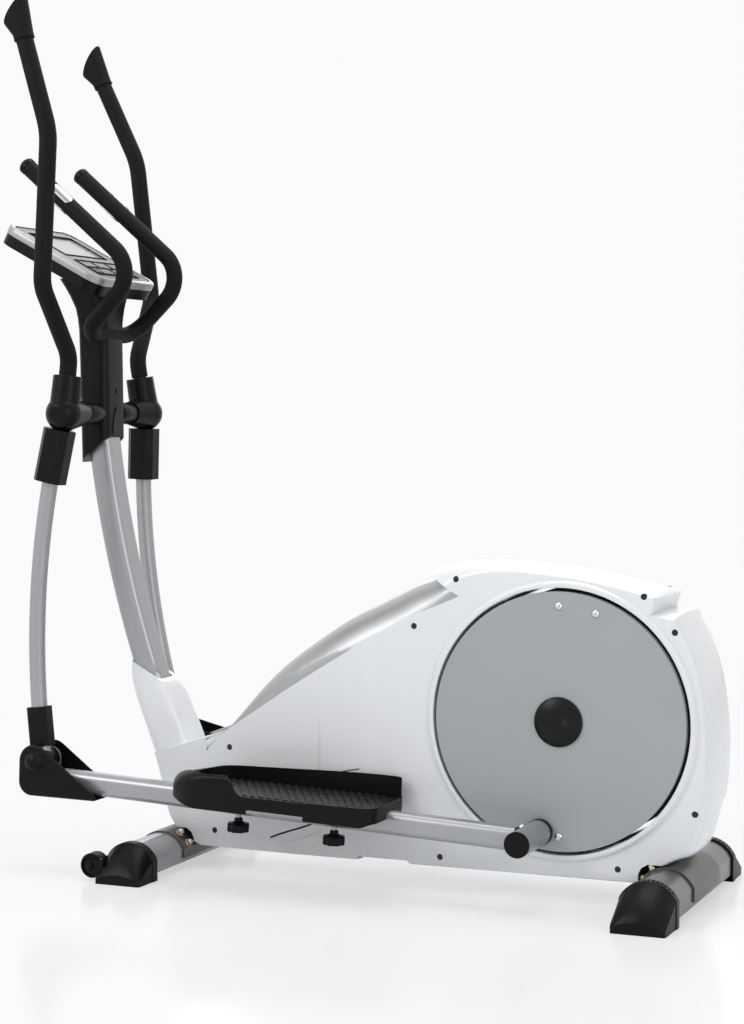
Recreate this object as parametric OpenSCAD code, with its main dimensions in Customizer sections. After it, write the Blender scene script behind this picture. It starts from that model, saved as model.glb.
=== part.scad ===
// Elliptical trainer with a rear crank, moving arms, fixed grips and a belt-driven flywheel.
// +X points to the rear of the machine, +Y to the user's right, +Z up. The origin lies on the floor, under the
// middle of the whole machine. Left pieces have y < 0.

/* [Crank and discs] */
// Crank axis behind the middle of the machine
crank_x = 454; // [449.5:0.5:458.5]
// Height of the crank axis
crank_z = 336; // [332:1:345]
// Crank axis to pedal-arm pin
crank_r = 208; // [190:1:212]
// How far the left pin stands ahead of bottom dead centre
crank_angle = 9.4; // [6:0.1:14]
// Radius of a crank disc
disc_r = 240; // [232:1:243]
// Outer face of a disc, from the middle plane
disc_y = 102; // [100:0.5:104]
// Thickness of a disc's plate
disc_plate = 4; // [3:0.5:5]
// Depth of the rim behind a disc's plate
disc_rim = 14; // [10:1:16]
// Radius of the crank axle
axle_r = 10; // [8:0.5:12]
// Radius of a hub cap
hub_cap_r = 46; // [38:1:52]
// Width of the crank arm at its root
crank_arm_w = 40; // [34:1:46]
// Thickness of a crank arm
crank_arm_t = 9; // [7:0.5:10]

/* [Drive] */
// Radius of the big belt pulley
pulley_r = 140; // [120:1:150]
// Width of both belt pulleys
pulley_w = 18; // [14:1:20]
// Radius of the flywheel's belt pulley
small_pulley_r = 17; // [14:0.5:20]
// Thickness of the drive belt
belt_t = 3; // [2:0.5:4]
// Flywheel axis behind the middle of the machine
flywheel_x = 53.5; // [41.5:0.5:65.5]
// Height of the flywheel axis
flywheel_z = 235; // [232:1:245]
// Radius of the flywheel
flywheel_r = 130; // [110:1:135]
// Width of the flywheel
flywheel_w = 36; // [24:1:40]
// Radius of the idler pulley
idler_r = 20; // [16:1:24]
// Gap between the flywheel's rim and the brake magnets
brake_gap = 7; // [5:0.5:9]

/* [Arms] */
// Swing-arm pivot ahead of the middle of the machine (negative: forward)
pivot_x = -544; // [-548.5:0.5:-539.5]
// Height of the swing-arm pivot
pivot_z = 900; // [890:1:910]
// Pivot hub to the middle plane
pivot_y = 168; // [164:1:172]
// Pivot to the lower joint of a swing arm
rocker_len = 684; // [676:1:692]
// Lower joint to the crank pin along a pedal arm
beam_len = 1007; // [1000:1:1014]
// Lower joint and pedal arm to the middle plane
joint_y = 186; // [182:1:190]
// Forward bow of the lower swing tube
arm_bow = 35; // [20:1:50]
// Radius of the lower swing tube
lower_tube_r = 16; // [14:0.5:18]
// Radius of the upper arm's steel tube
upper_tube_r = 14; // [12:0.5:15]
// Radius of the foam grips
grip_r = 17; // [16:0.5:19]
// Wall of the arm tubes
tube_wall = 2.5; // [2:0.1:3]
// Grip tube to the middle plane
grip_y = 262; // [250:1:275]
// Height of the lower bend above the pivot
bend_low = 113; // [108:1:120]
// Height of the outer bend above the pivot
bend_out = 246; // [236:1:260]
// Height of the upper bend above the pivot
bend_high = 540; // [500:1:580]
// Height of the grip's end above the pivot
grip_top = 722; // [690:1:740]
// Forward lean of the grip's end, measured at its tip
grip_reach = 70; // [50:1:90]
// Radius of the arm's pivot shaft
shaft_r = 12.5; // [11:0.5:14]
// Radius of the ball-shaped pivot cover
ball_r = 36; // [34:0.5:38]

/* [Pedal arms] */
// Height of a pedal-arm tube
beam_h = 44; // [38:1:48]
// Width of a pedal-arm tube
beam_w = 38; // [32:1:42]
// How far the lower joint's axle stands above the tube
joint_rise = 36; // [34:1:40]
// Radius of the lower joint's axle
joint_axle_r = 8; // [6:0.5:9]
// Radius of the crank pin
pin_r = 12; // [10:0.5:14]
// Radius of the sleeve round the crank pin
sleeve_r = 24; // [22:0.5:26]
// Outer end of the crank-pin sleeve, from the middle plane
sleeve_end = 238; // [230:1:244]

/* [Pedals] */
// Length of a pedal
pedal_len = 438; // [400:1:450]
// Width of a pedal
pedal_w = 168; // [150:1:172]
// Middle of the pedal behind the lower joint
pedal_x = 521; // [510:1:540]
// Tread above the joint-to-pin line
pedal_z = 11; // [10.5:0.1:13]
// Wall of the pedal moulding
pedal_wall = 4; // [3:0.5:5]
// Height of the inner side wall above the tread
pedal_rail = 43; // [30:1:50]
// Height of the outer lip above the tread
pedal_lip = 7; // [4:1:12]
// Depth of the skirt below the tread
pedal_skirt = 30; // [24:1:34]
// Distance between the two clamp knobs
knob_pitch = 199; // [180:1:210]
// Radius of a clamp knob
knob_r = 22; // [18:1:24]

/* [Mast and grips] */
// Bend radius of the mast
mast_bend = 2185; // [2100:5:2300]
// Height at which the mast stands plumb
mast_plumb_z = 1106; // [1095:1:1115]
// Swing-arm pivot behind the mast's middle at that height
pivot_back = 19; // [16:0.5:22]
// Depth of the mast tube
mast_d = 50; // [46:1:54]
// Width of the mast tube
mast_w = 60; // [56:1:64]
// Top of the mast tube
mast_top = 960; // [950:1:965]
// Radius of the fixed handlebar
bar_r = 16.5; // [15:0.5:17.5]
// Fixed grip to the middle plane
bar_y = 107; // [98:1:115]

/* [Console] */
// Width of the console
console_w = 250; // [230:1:270]
// Length of the console along its slope
console_len = 250; // [230:1:270]
// Slope of the console
console_tilt = 28; // [24:0.5:32]
// Thickness of the silver frame
bezel_t = 16; // [12:1:18]
// Thickness of the black base
base_t = 22; // [18:1:26]
// User's edge of the console behind the mast's middle where it is plumb
console_back = 79; // [75:0.5:83]
// Height of that edge
console_z = 1165; // [1160:1:1172]

/* [Stabilisers] */
// Width of the front stabiliser tube
front_w = 94; // [86:1:98]
// Top of the front stabiliser
front_h = 70; // [64:1:74]
// Middle of the front stabiliser
front_x = -371; // [-374.5:0.5:-368.5]
// Half length of the front stabiliser with its caps
front_half = 279; // [265:1:290]
// Width of the rear stabiliser tube
rear_w = 98; // [92:1:102]
// Top of the rear stabiliser
rear_h = 78; // [72:1:80]
// Middle of the rear stabiliser
rear_x = 657; // [653.5:0.5:660.5]
// Half length of the rear stabiliser with its caps
rear_half = 290; // [275:1:300]
// Bottom of the stabiliser tubes above the floor
tube_lift = 14; // [10:1:18]
// Radius of a transport roller
roller_r = 24; // [20:1:26]

/* [Housing] */
// Side face of the housing, from the middle plane
shell_y = 92; // [90:0.5:94]
// Wall of the plastic housing
shell_wall = 3; // [2.5:0.1:3.5]
// Width of the raised ring round a disc
ring_w = 9; // [6:1:10]
// Height of that ring above the side face
ring_h = 7; // [4:0.5:8]
// Gap between a disc and its opening
disc_gap = 7; // [5:0.5:9]

/* [Hidden] */
$fn = 48;

left = -1;
right = 1;
touch = 0.3;        // gap between seated pieces with curved faces
run_fit = 0.05;     // radial gap of a running fit
slip_fit = 0.3;     // gap of telescoping tubes
weld = 0.05;        // how much a bend is fuller than the straights that run into it
weld_len = 0.5;     // how far a straight runs into a bend

// Four-bar linkage: crank pin, pedal arm, swing arm. Points are [x, z].
function pin_at(side) =
    [crank_x + side * crank_r * sin(crank_angle), crank_z + side * crank_r * cos(crank_angle)];
function swing_of(side) = let (p = pin_at(side), dx = p.x - pivot_x, dz = pivot_z - p.y, reach = norm([dx, dz]))
    atan2(dx, dz) - acos((reach * reach + rocker_len * rocker_len - beam_len * beam_len) / (2 * rocker_len * reach));
function joint_at(side) = let (a = swing_of(side)) [pivot_x + rocker_len * sin(a), pivot_z - rocker_len * cos(a)];
function beam_of(side) = let (p = pin_at(side), j = joint_at(side)) atan2(p.y - j.y, p.x - j.x);

module flip(side) { if (side < 0) mirror([0, 1, 0]) children(); else children(); }

// Swing-arm frame: pivot at the origin, z up along the arm, +Y outwards.
module on_swing(side) { translate([pivot_x, 0, pivot_z]) rotate([0, -swing_of(side), 0]) flip(side) children(); }

// Pedal-arm frame: lower joint at the origin, +X towards the crank pin, +Y outwards.
module on_beam(side) {
    j = joint_at(side);
    translate([j.x, 0, j.y]) rotate([0, -beam_of(side), 0]) flip(side) children();
}

module rrect(w, h, r) {
    square([w - 2 * r, h], center = true);
    square([w, h - 2 * r], center = true);
    for (x = [-1, 1], y = [-1, 1]) translate([x * (w / 2 - r), y * (h / 2 - r)]) circle(r);
}

module y_cylinder(r, y0, y1) { translate([0, y0, 0]) rotate([-90, 0, 0]) cylinder(r = r, h = y1 - y0); }

// A 2-D child swept on an arc in the XZ plane, angles from +X towards +Z.
module arc_xz(centre, r, start, angle) {
    translate([centre.x, 0, centre.y]) rotate([90, 0, 0])
        rotate_extrude(start = start, angle = angle, $fn = 480) translate([r, 0]) children();
}

// Round bar or tube through 3-D points, with a bend radius at each inner point.
function unit(v) = v / norm(v);
function turn_of(p, i) = acos(unit(p[i] - p[i - 1]) * unit(p[i + 1] - p[i]));
function setback(p, i, bends) =
    (i == 0 || i == len(p) - 1) ? 0 : bends[i - 1] * tan(turn_of(p, i) / 2);
module ring_section(r, bore) { difference() { circle(r); if (bore > 0) circle(bore); } }
module pipe(p, bends, r, bore = 0) {
    for (i = [0 : len(p) - 2]) {
        d = unit(p[i + 1] - p[i]);
        a = p[i] + d * setback(p, i, bends);
        b = p[i + 1] - d * setback(p, i + 1, bends);
        e0 = i == 0 ? 0 : weld_len;
        e1 = i == len(p) - 2 ? 0 : weld_len;
        translate(a - e0 * d) rotate([0, acos(d.z), atan2(d.y, d.x)])
            linear_extrude(norm(b - a) + e0 + e1) ring_section(r, bore);
    }
    for (i = [1 : len(p) - 2]) {
        din = unit(p[i] - p[i - 1]);
        dout = unit(p[i + 1] - p[i]);
        n = unit(dout - (din * dout) * din);
        c = p[i] - din * setback(p, i, bends) + n * bends[i - 1];
        k = cross(-n, din);
        multmatrix([[-n.x, din.x, k.x, c.x], [-n.y, din.y, k.y, c.y], [-n.z, din.z, k.z, c.z], [0, 0, 0, 1]])
            rotate_extrude(angle = turn_of(p, i)) translate([bends[i - 1], 0])
                ring_section(r + weld, bore > 0 ? bore - weld : 0);
    }
}

// ---------------------------------------------------------------- base frame
beam_top = 86;
beam_low = 46;
frame_half = 40;
saddle_t = 3;
front_end = front_x + front_w / 2 + saddle_t + 2 * touch;
rear_end = rear_x - rear_w / 2 - saddle_t - 2 * touch;
bearing_r = 23.5;
bearing_w = 14;
shell_a = -40;      // ends of the crank bearing shell
shell_b = 20;
pulley_y = 26;      // inner face of the belt pulleys
plate_t = 4;
brake_pivot = [flywheel_x + 150 * cos(145), flywheel_z + 150 * sin(145)];
brake_pin_r = 4;
post_y = -46;

// The belt's lower run touches both pulleys; the idler sits below it.
centre_gap = [crank_x - flywheel_x, crank_z - flywheel_z];
run_tilt = atan2(centre_gap.y, centre_gap.x) - asin((pulley_r - small_pulley_r) / norm(centre_gap));
run_down = [sin(run_tilt), -cos(run_tilt)];
idler_at = [flywheel_x, flywheel_z] + run_down * (small_pulley_r + belt_t + 2 * touch + idler_r)
    + 115 * [cos(run_tilt), sin(run_tilt)];

mast_plumb_x = pivot_x - pivot_back;
console_x = mast_plumb_x + console_back;
function mast_angle(z) = asin((mast_plumb_z - z) / mast_bend);
function mast_x(z) = mast_plumb_x + mast_bend * (1 - cos(mast_angle(z)));
module mast_arc(z_low, z_high) {
    arc_xz([mast_plumb_x + mast_bend, mast_plumb_z], mast_bend, 180 + mast_angle(z_high),
        mast_angle(z_low) - mast_angle(z_high)) children();
}
mast_wall = 2.5;
foot_top = 112;

module main_frame() color("dimgray") {
    difference() {
        union() {
            difference() {
                translate([front_end, -frame_half, beam_low])
                    cube([rear_end - front_end, 2 * frame_half, beam_top - beam_low]);
                translate([front_end + 10, 3 - frame_half, beam_low + 3])
                    cube([rear_end - front_end - 20, 2 * frame_half - 6, beam_top - beam_low - 6]);
            }
            // mast foot and spigot
            translate([front_end - 24, -30, beam_top - 6]) cube([84, 60, foot_top - beam_top + 6]);
            mast_arc(foot_top - 10, 330)
                rrect(mast_d - 2 * mast_wall - 2 * slip_fit, mast_w - 2 * mast_wall - 2 * slip_fit, 11);
            // crank tower
            translate([crank_x - 25, shell_a + 5, beam_top - 1]) cube([50, 50, crank_z - 20 - beam_top]);
            translate([crank_x, 0, crank_z]) y_cylinder(bearing_r + 6, shell_a, shell_b);
            // flywheel fork
            translate([flywheel_x - 60, -38, beam_top]) cube([120, 90, 6]);
            for (y = [-38, 48]) translate([flywheel_x - 25, y, beam_top]) cube([50, plate_t, flywheel_z + 20 - beam_top]);
            // brake post and idler post
            translate([brake_pivot.x - 12, post_y, beam_top]) cube([24, 6, brake_pivot.y + 12 - beam_top]);
            translate([brake_pivot.x - 12, post_y, beam_top - 6]) cube([24, 20, 6]);
            translate([brake_pivot.x, 0, brake_pivot.y]) y_cylinder(brake_pin_r, post_y, 12);
            translate([idler_at.x - 10, 14, beam_top - 1]) cube([20, 6, idler_at.y + 11 - beam_top]);
            translate([idler_at.x, 0, idler_at.y]) y_cylinder(5, 14, pulley_y + pulley_w + 4);
        }
        translate([crank_x, 0, crank_z]) y_cylinder(bearing_r, shell_a - 1, shell_b + 1);
        translate([flywheel_x, 0, flywheel_z]) y_cylinder(6.1, -60, 60);
    }
}

module crank_bearings() color("silver") translate([crank_x, 0, crank_z]) for (y = [shell_a, shell_b - bearing_w])
    difference() {
        y_cylinder(bearing_r - 0.02, y, y + bearing_w);
        y_cylinder(axle_r + run_fit, y - 1, y + bearing_w + 1);
    }

module flywheel_axle() color("silver") translate([flywheel_x, 0, flywheel_z]) {
    y_cylinder(6, -47, 61);
    for (y = [-44, 52 + touch]) translate([0, y, 0]) rotate([-90, 0, 0]) cylinder(r = 10, h = 6 - touch, $fn = 6);
}

module drive_belt() color("black") translate([0, pulley_y, 0]) rotate([90, 0, 0]) mirror([0, 0, 1])
    linear_extrude(pulley_w) difference() {
        hull() belt_circles(touch + belt_t);
        hull() belt_circles(touch);
    }
module belt_circles(grow) {
    translate([crank_x, crank_z]) circle(pulley_r + grow, $fn = 72);
    translate([flywheel_x, flywheel_z]) circle(small_pulley_r + grow, $fn = 32);
}

module brake_servo() color("dimgray") {
    translate([flywheel_x - 262, -20, beam_top]) cube([48, 36, 34]);
    translate([flywheel_x - 238, 16, beam_top + 20]) y_cylinder(11, 0, 8);
}

// ---------------------------------------------------------------- stabilisers
module arch(w, h, low) {
    r = w * 0.55;
    intersection() {
        translate([-w / 2, low]) square([w, h - low]);
        translate([0, h - r]) circle(r);
    }
}
module along_y(y0, y1) { translate([0, y1, 0]) rotate([90, 0, 0]) linear_extrude(y1 - y0) children(); }
module both() { children(); mirror([0, 1, 0]) children(); }
cap_band = 20;
cap_over = 16;
front_cap_len = 72;
rear_cap_len = 87;

module stab_tube(w, h, half) {
    along_y(-half, half) difference() {
        arch(w, h, tube_lift);
        arch(w - 6, h - 3, tube_lift + 3);
    }
}
module front_stabilizer() color("darkgray")
    translate([front_x, 0, 0]) stab_tube(front_w, front_h, front_half - front_cap_len + cap_over);
module rear_stabilizer() color("slategray")
    translate([rear_x, 0, 0]) stab_tube(rear_w, rear_h, rear_half - rear_cap_len + cap_over);

// A cap's band goes over the tube; its wedge falls to a low outer edge.
module end_cap(w, h, half, len) {
    inner = half - len;
    difference() {
        union() {
            along_y(inner, inner + cap_band) arch(w + 8, h + 4, 0);
            hull() {
                along_y(inner + cap_band - 1, inner + cap_band) arch(w + 5, h + 2, 0);
                along_y(half - 8, half - 6) arch(w + 3, h * 0.46, 0);
                along_y(half - 1, half) translate([-w / 2, 0]) square([w, h * 0.3]);
            }
        }
        along_y(inner - 1, inner + cap_over + touch) arch(w + 2 * touch, h + touch, tube_lift - touch);
    }
}
roller_x = front_x - front_w / 2 - 18;
roller_z = roller_r + 6;
roller_y = front_half - 32;
roller_w = 26;
module front_end_caps() color("black") both() translate([front_x, 0, 0]) difference() {
    union() {
        end_cap(front_w, front_h, front_half, front_cap_len);
        translate([-front_w / 2 - 18, roller_y - 23, 0]) cube([30, 46, roller_z + 14]);
    }
    translate([roller_x - front_x - roller_r - 3, roller_y - roller_w / 2 - 2, -1])
        cube([2 * roller_r + 6, roller_w + 4, 2 * roller_r + 12]);
    translate([roller_x - front_x, 0, roller_z]) y_cylinder(4 + touch, roller_y - 40, roller_y + 40);
}
module rear_end_caps() color("black") both() translate([rear_x, 0, 0]) difference() {
    end_cap(rear_w, rear_h, rear_half, rear_cap_len);
    for (a = [-40 : 10 : 40]) translate([0, rear_half - rear_cap_len - 1, rear_h - rear_w * 0.55])
        rotate([0, a, 0]) translate([0, 0, rear_w * 0.55 + 4.4]) y_cylinder(1.4, 0, cap_band);
}
module roller(side) color("black") flip(side) translate([roller_x, roller_y, roller_z]) difference() {
    union() {
        y_cylinder(roller_r, -roller_w / 2, roller_w / 2);
    }
    y_cylinder(4 + run_fit, -roller_w, roller_w);
    for (s = [-1, 1]) difference() {
        y_cylinder(roller_r - 4, s * roller_w / 2 - 4, s * roller_w / 2 + 4);
        y_cylinder(9, -roller_w, roller_w);
    }
}

saddle_half = 95;
module saddle(w, h) {
    along_y(-saddle_half, saddle_half) difference() {
        arch(w + 2 * saddle_t + 2 * touch, h + saddle_t + touch, 22);
        arch(w + 2 * touch, h + touch, -5);
    }
}
bolt_y = 74;
bolt_up = [32, 58];      // angles of the two bolt rows round each arch
module saddle_plates() color("slategray") {
    translate([front_x, 0, 0]) saddle(front_w, front_h);
    translate([rear_x, 0, 0]) mirror([1, 0, 0]) saddle(rear_w, rear_h);
}
module dome_bolt(r) {
    cylinder(r = r * 1.25, h = 2.5, $fn = 24);
    cylinder(r = r, h = 8, $fn = 6);
    translate([0, 0, 7]) sphere(r * 0.8, $fn = 24);
}
module saddle_spots(w, h, dir) {
    r = w * 0.55;
    for (y = [-1, 1], a = bolt_up) translate([0, y * bolt_y, h - r])
        rotate([0, dir * a, 0]) translate([0, 0, r + saddle_t + 2 * touch]) children();
}
module frame_bolts() color("silver") {
    translate([front_x, 0, 0]) saddle_spots(front_w, front_h, 1) dome_bolt(7);
    translate([rear_x, 0, 0]) saddle_spots(rear_w, rear_h, -1) dome_bolt(7);
    for (s = [left, right]) flip(s) translate([roller_x, roller_y, roller_z]) y_cylinder(4, -22, 22);
}

// ---------------------------------------------------------------- mast
cross_r = 19;
cross_half = 96;
mast_foot = 235;
web = 3;
groove_y = 14;
groove_w = 2.4;
groove_depth = 1.2;
module mast_bore() { rrect(mast_d - 2 * mast_wall, mast_w - 2 * mast_wall, 10.5); }
module mast() color("silver") difference() {
    union() {
        mast_arc(mast_foot, mast_top) difference() {
            rrect(mast_d, mast_w, 13);
            for (y = [-groove_y, groove_y]) translate([mast_d / 2 - groove_depth, y - groove_w / 2]) square([3, groove_w]);
        }
        translate([pivot_x, 0, pivot_z]) y_cylinder(cross_r, -cross_half, cross_half);
    }
    mast_arc(mast_foot - 5, pivot_z - cross_r - web) mast_bore();
    mast_arc(pivot_z + cross_r + web, mast_top + 5) mast_bore();
    translate([pivot_x, 0, pivot_z]) y_cylinder(shaft_r + 0.02, -cross_half - 1, cross_half + 1);
}
module pivot_shaft() color("silver") translate([pivot_x, 0, pivot_z]) {
    y_cylinder(shaft_r, -pivot_y - hub_out - 3, pivot_y + hub_out + 3);
    both() y_cylinder(shaft_r + 5, pivot_y + hub_out + touch, pivot_y + hub_out + 3);
}

module block(x0, x1, w, z, r, h = 1) {
    translate([(x0 + x1) / 2, 0, z]) linear_extrude(h) rrect(x1 - x0, w, r);
}
// Black cover: straight round the mast, flared under the console.
cover_wall = 2;
module cover_form(g, z0, z1) translate([pivot_x, 0, 0]) {
    hull() {
        block(-39 - g, 24.6 + g, 84 + 2 * g, z0, 15 + g);
        block(-44 - g, 22 + g, 84 + 2 * g, 1070, 15 + g);
    }
    hull() {
        block(-44 - g, 22 + g, 84 + 2 * g, 1069, 15 + g);
        block(-48 - g, 24 + g, 96 + 2 * g, 1112, 20 + g);
    }
    hull() {
        block(-48 - g, 24 + g, 96 + 2 * g, 1112, 20 + g);
        block(-78 - g, 34 + g, 122 + 2 * g, z1, 26 + g);
    }
}
module mast_cover() color("black") {
    difference() {
        cover_form(0, 800, 1175);
        cover_form(-cover_wall, 795, 1180);
        translate([pivot_x - 6, -80, 700]) rotate([0, 24, 0]) translate([-150, 0, 0]) cube([400, 160, 145]);
        translate([pivot_x, 0, pivot_z]) y_cylinder(cross_r + touch, -80, 80);
        translate([pivot_x - 3, -60, 700]) cube([touch, 120, 600]);
        pipe(bar_path, bar_bends, bar_r + touch);
        console_space();
    }
    translate([pivot_x, 0, pivot_z]) both() difference() {
        y_cylinder(cross_r + 3, 42 + touch, cross_half - 1);
        y_cylinder(cross_r + 0.1, 40, cross_half);
    }
}

// White boot over the foot of the mast.
module boot_form(g, end) translate([mast_plumb_x, 0, 0]) {
    hull() {
        block(82 - g, 171 + g, 80 + 2 * g, 410 + end, 20 + g, 4);
        block(117 - g, 209 + g, 92 + 2 * g, 302, 22 + g, 2);
    }
    hull() {
        block(117 - g, 209 + g, 92 + 2 * g, 302, 22 + g, 2);
        block(151 - g, 259 + g, 100 + 2 * g, 212 - end, 24 + g, 2);
    }
}
module boot_cut() {
    translate([mast_plumb_x + 149, -100, 222]) rotate([0, -19.5, 0]) translate([-60, 0, -100]) cube([240, 200, 100]);
    translate([mast_plumb_x + 89, -100, 396]) rotate([0, 29, 0]) translate([-20, 0, 0]) cube([160, 200, 80]);
}
module mast_boot() color("white") {
    difference() {
        boot_form(0, 0);
        boot_form(-3, 2);
        boot_cut();
    }
    // collar that seats the boot on the mast
    difference() {
        intersection() {
            boot_form(-1, 0);
            translate([mast_plumb_x, -100, 346]) cube([300, 200, 3]);
        }
        mast_arc(300, 400) rrect(mast_d + 2 * touch, mast_w + 2 * touch, 13 + touch);
    }
}

// ---------------------------------------------------------------- fixed grips
plug_top = 1000;
bar_tip = [mast_plumb_x - 93, bar_y, 1391];
bar_elbow = [mast_plumb_x + 151, bar_y, 1181];
bar_knee = [mast_plumb_x + 28, bar_y - 7, 1060];
function other(p) = [p.x, -p.y, p.z];
bar_path = [other(bar_tip), other(bar_elbow), other(bar_knee), bar_knee, bar_elbow, bar_tip];
bar_bends = [62, 45, 45, 62];
module handlebar() color("black") {
    pipe(bar_path, bar_bends, bar_r, bar_r - 2.5);
    mast_arc(pivot_z + cross_r + web + touch, plug_top)
        rrect(mast_d - 2 * mast_wall - 2 * slip_fit, mast_w - 2 * mast_wall - 2 * slip_fit, 10);
    difference() {
        translate([mast_x(plug_top) - 20, -25, plug_top - 4]) cube([42, 50, 160]);
        console_space();
    }
}
bar_dir = unit(bar_tip - bar_elbow);
module at_tip() { both() translate(bar_tip) rotate([0, acos(bar_dir.z), atan2(bar_dir.y, bar_dir.x)]) children(); }
module handlebar_caps() color("black") at_tip() translate([0, 0, touch]) {
    cylinder(r = bar_r + 0.6, h = 8);
    translate([0, 0, 8]) dome(bar_r + 0.6, 9);
}
// Spherical cap of the given base radius and height.
module dome(r, h) {
    s = (r * r + h * h) / (2 * h);
    rotate_extrude() intersection() {
        translate([0, h - s]) circle(s, $fn = 200);
        square([r, h]);
    }
}
sensor_len = 70;
module pulse_sensors() color("silver") at_tip() for (a = [0, 180]) rotate([0, 0, a]) intersection() {
    translate([0, 0, -52 - sensor_len]) linear_extrude(sensor_len) ring_section(bar_r + 1.4, bar_r + 0.2);
    translate([5, 0, -52 - sensor_len / 2]) rotate([0, 90, 0]) linear_extrude(60) oval(sensor_len - 1, 26);
}
module oval(l, w) {
    r = (l * l + w * w) / (4 * w);
    intersection() {
        translate([0, w / 2 - r]) circle(r, $fn = 64);
        translate([0, r - w / 2]) circle(r, $fn = 64);
    }
}

// ---------------------------------------------------------------- console
module on_console() { translate([console_x, 0, console_z]) rotate([0, console_tilt, 0]) mirror([1, 0, 0]) children(); }
// Local frame of the console: +X up the slope from the user's edge, +Z out of the face.
module panel(r, h, inset) { translate([console_len / 2, 0, 0]) linear_extrude(h) rrect(console_len - 2 * inset, console_w - 2 * inset, r - inset); }
module console_space() { on_console() translate([-60, -200, -bezel_t - base_t - touch]) cube([400, 400, 300]); }
face_drop = 3;
screen_x0 = 118;
screen_len = 92;
screen_w = 160;
keypad_x0 = 24;
keypad_len = 76;
keypad_w = 172;
module console_bezel() color("silver") on_console() difference() {
    translate([0, 0, -bezel_t]) panel(36, bezel_t, 0);
    translate([0, 0, -face_drop]) panel(36, face_drop + 1, 9);
    translate([0, 0, -bezel_t - 1]) panel(36, bezel_t - face_drop - 2, 4);
    translate([screen_x0, -screen_w / 2, -bezel_t - 1]) cube([screen_len, screen_w, bezel_t + 2]);
    translate([keypad_x0, -keypad_w / 2, -face_drop - 1]) cube([keypad_len, keypad_w, 4]);
    for (k = key_list) translate([k[0] - touch, k[1] - touch, -bezel_t - 1])
        cube([k[2] + 2 * touch, k[3] + 2 * touch, bezel_t + 2]);
}
module console_base() color("black") on_console() translate([0, 0, -bezel_t - base_t]) {
    difference() {
        panel(36, base_t - touch, 1.5);
        translate([0, 0, 3]) panel(36, base_t, 5);
    }
}
module console_screen() color("darkslategray") on_console()
    translate([screen_x0 + touch, -screen_w / 2 + touch, -face_drop - 8])
        cube([screen_len - 2 * touch, screen_w - 2 * touch, 7]);
// Keys: x and y of the corner, length and width.
key_list = [[66, -78, 20, 44], [66, -22, 20, 44], [66, 34, 20, 44], [36, -50, 20, 44], [36, 6, 20, 44]];
module key(i) color("dimgray") on_console() {
    k = key_list[i];
    translate([k[0], k[1], -face_drop - 4]) cube([k[2], k[3], 6]);
    translate([k[0] - 2, k[1] - 2, -face_drop - 5]) cube([k[2] + 4, k[3] + 4, 1.5]);
}
module start_key() key(0);
module stop_key() key(1);
module up_key() key(2);
module down_key() key(3);
module enter_key() key(4);

// ---------------------------------------------------------------- crank
module crank_axle() color("silver") translate([crank_x, 0, crank_z]) {
    y_cylinder(axle_r, -disc_y - 2.6, disc_y + 2.6);
    both() y_cylinder(axle_r + 5, disc_y + touch, disc_y + 2.6);
}
arm_out = disc_y - disc_plate - touch;
// Direction of a crank arm in the XZ plane, as the rotation that turns it down.
module on_crank(side) { translate([crank_x, 0, crank_z]) rotate([0, side < 0 ? crank_angle : 180 + crank_angle, 0]) flip(side) children(); }
module crank_arms() color("dimgray") for (s = [left, right]) on_crank(s) difference() {
    union() {
        y_cylinder(crank_arm_w / 2 + 2, arm_out - crank_arm_t - 3, arm_out);
        along_y(arm_out - crank_arm_t, arm_out) {
            translate([-crank_arm_w / 2 + 3, -crank_r]) square([crank_arm_w - 6, crank_r]);
            translate([0, -crank_r]) circle(crank_arm_w / 2 - 3);
        }
        translate([0, 0, -crank_r]) y_cylinder(pin_r, arm_out - 1, disc_y);
    }
    y_cylinder(axle_r + 0.02, arm_out - 20, arm_out + 1);
}
screw_r = 213;
module crank_discs() color("gray") for (s = [left, right]) on_crank(s) {
    difference() {
        y_cylinder(disc_r, disc_y - disc_rim, disc_y);
        y_cylinder(disc_r - 4, disc_y - disc_rim - 1, disc_y - disc_plate);
        y_cylinder(axle_r + touch, 60, disc_y + 1);
        translate([0, 0, -crank_r]) y_cylinder(pin_r + touch, 60, disc_y + 1);
    }
    for (a = [-9.6, 9.6, 170.4, 189.6]) rotate([0, a, 0]) translate([0, disc_y, -screw_r])
        rotate([-90, 0, 0]) dome(6, 2.4);
}
module hub_caps() color("black") translate([crank_x, 0, crank_z]) both() translate([0, disc_y, 0]) rotate([-90, 0, 0])
    difference() {
        union() {
            cylinder(r = hub_cap_r, h = 4);
            translate([0, 0, 3]) dome(hub_cap_r - 2, 11);
        }
        translate([0, 0, -1]) cylinder(r = hub_cap_r - 4, h = 4);
    }
module drive_pulley() color("dimgray") translate([crank_x, 0, crank_z]) difference() {
    union() {
        y_cylinder(pulley_r, pulley_y, pulley_y + pulley_w);
        y_cylinder(26, shell_b + touch, pulley_y + pulley_w + 6);
    }
    for (y = [pulley_y - 1, pulley_y + pulley_w / 2 + 3]) difference() {
        y_cylinder(pulley_r - 10, y, y + pulley_w / 2 - 2);
        y_cylinder(26, 0, 90);
    }
    for (a = [0 : 60 : 300]) rotate([0, a, 0]) translate([pulley_r * 0.56, 0, 0]) y_cylinder(26, 0, 90);
    y_cylinder(axle_r + 0.02, 0, 90);
}
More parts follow.
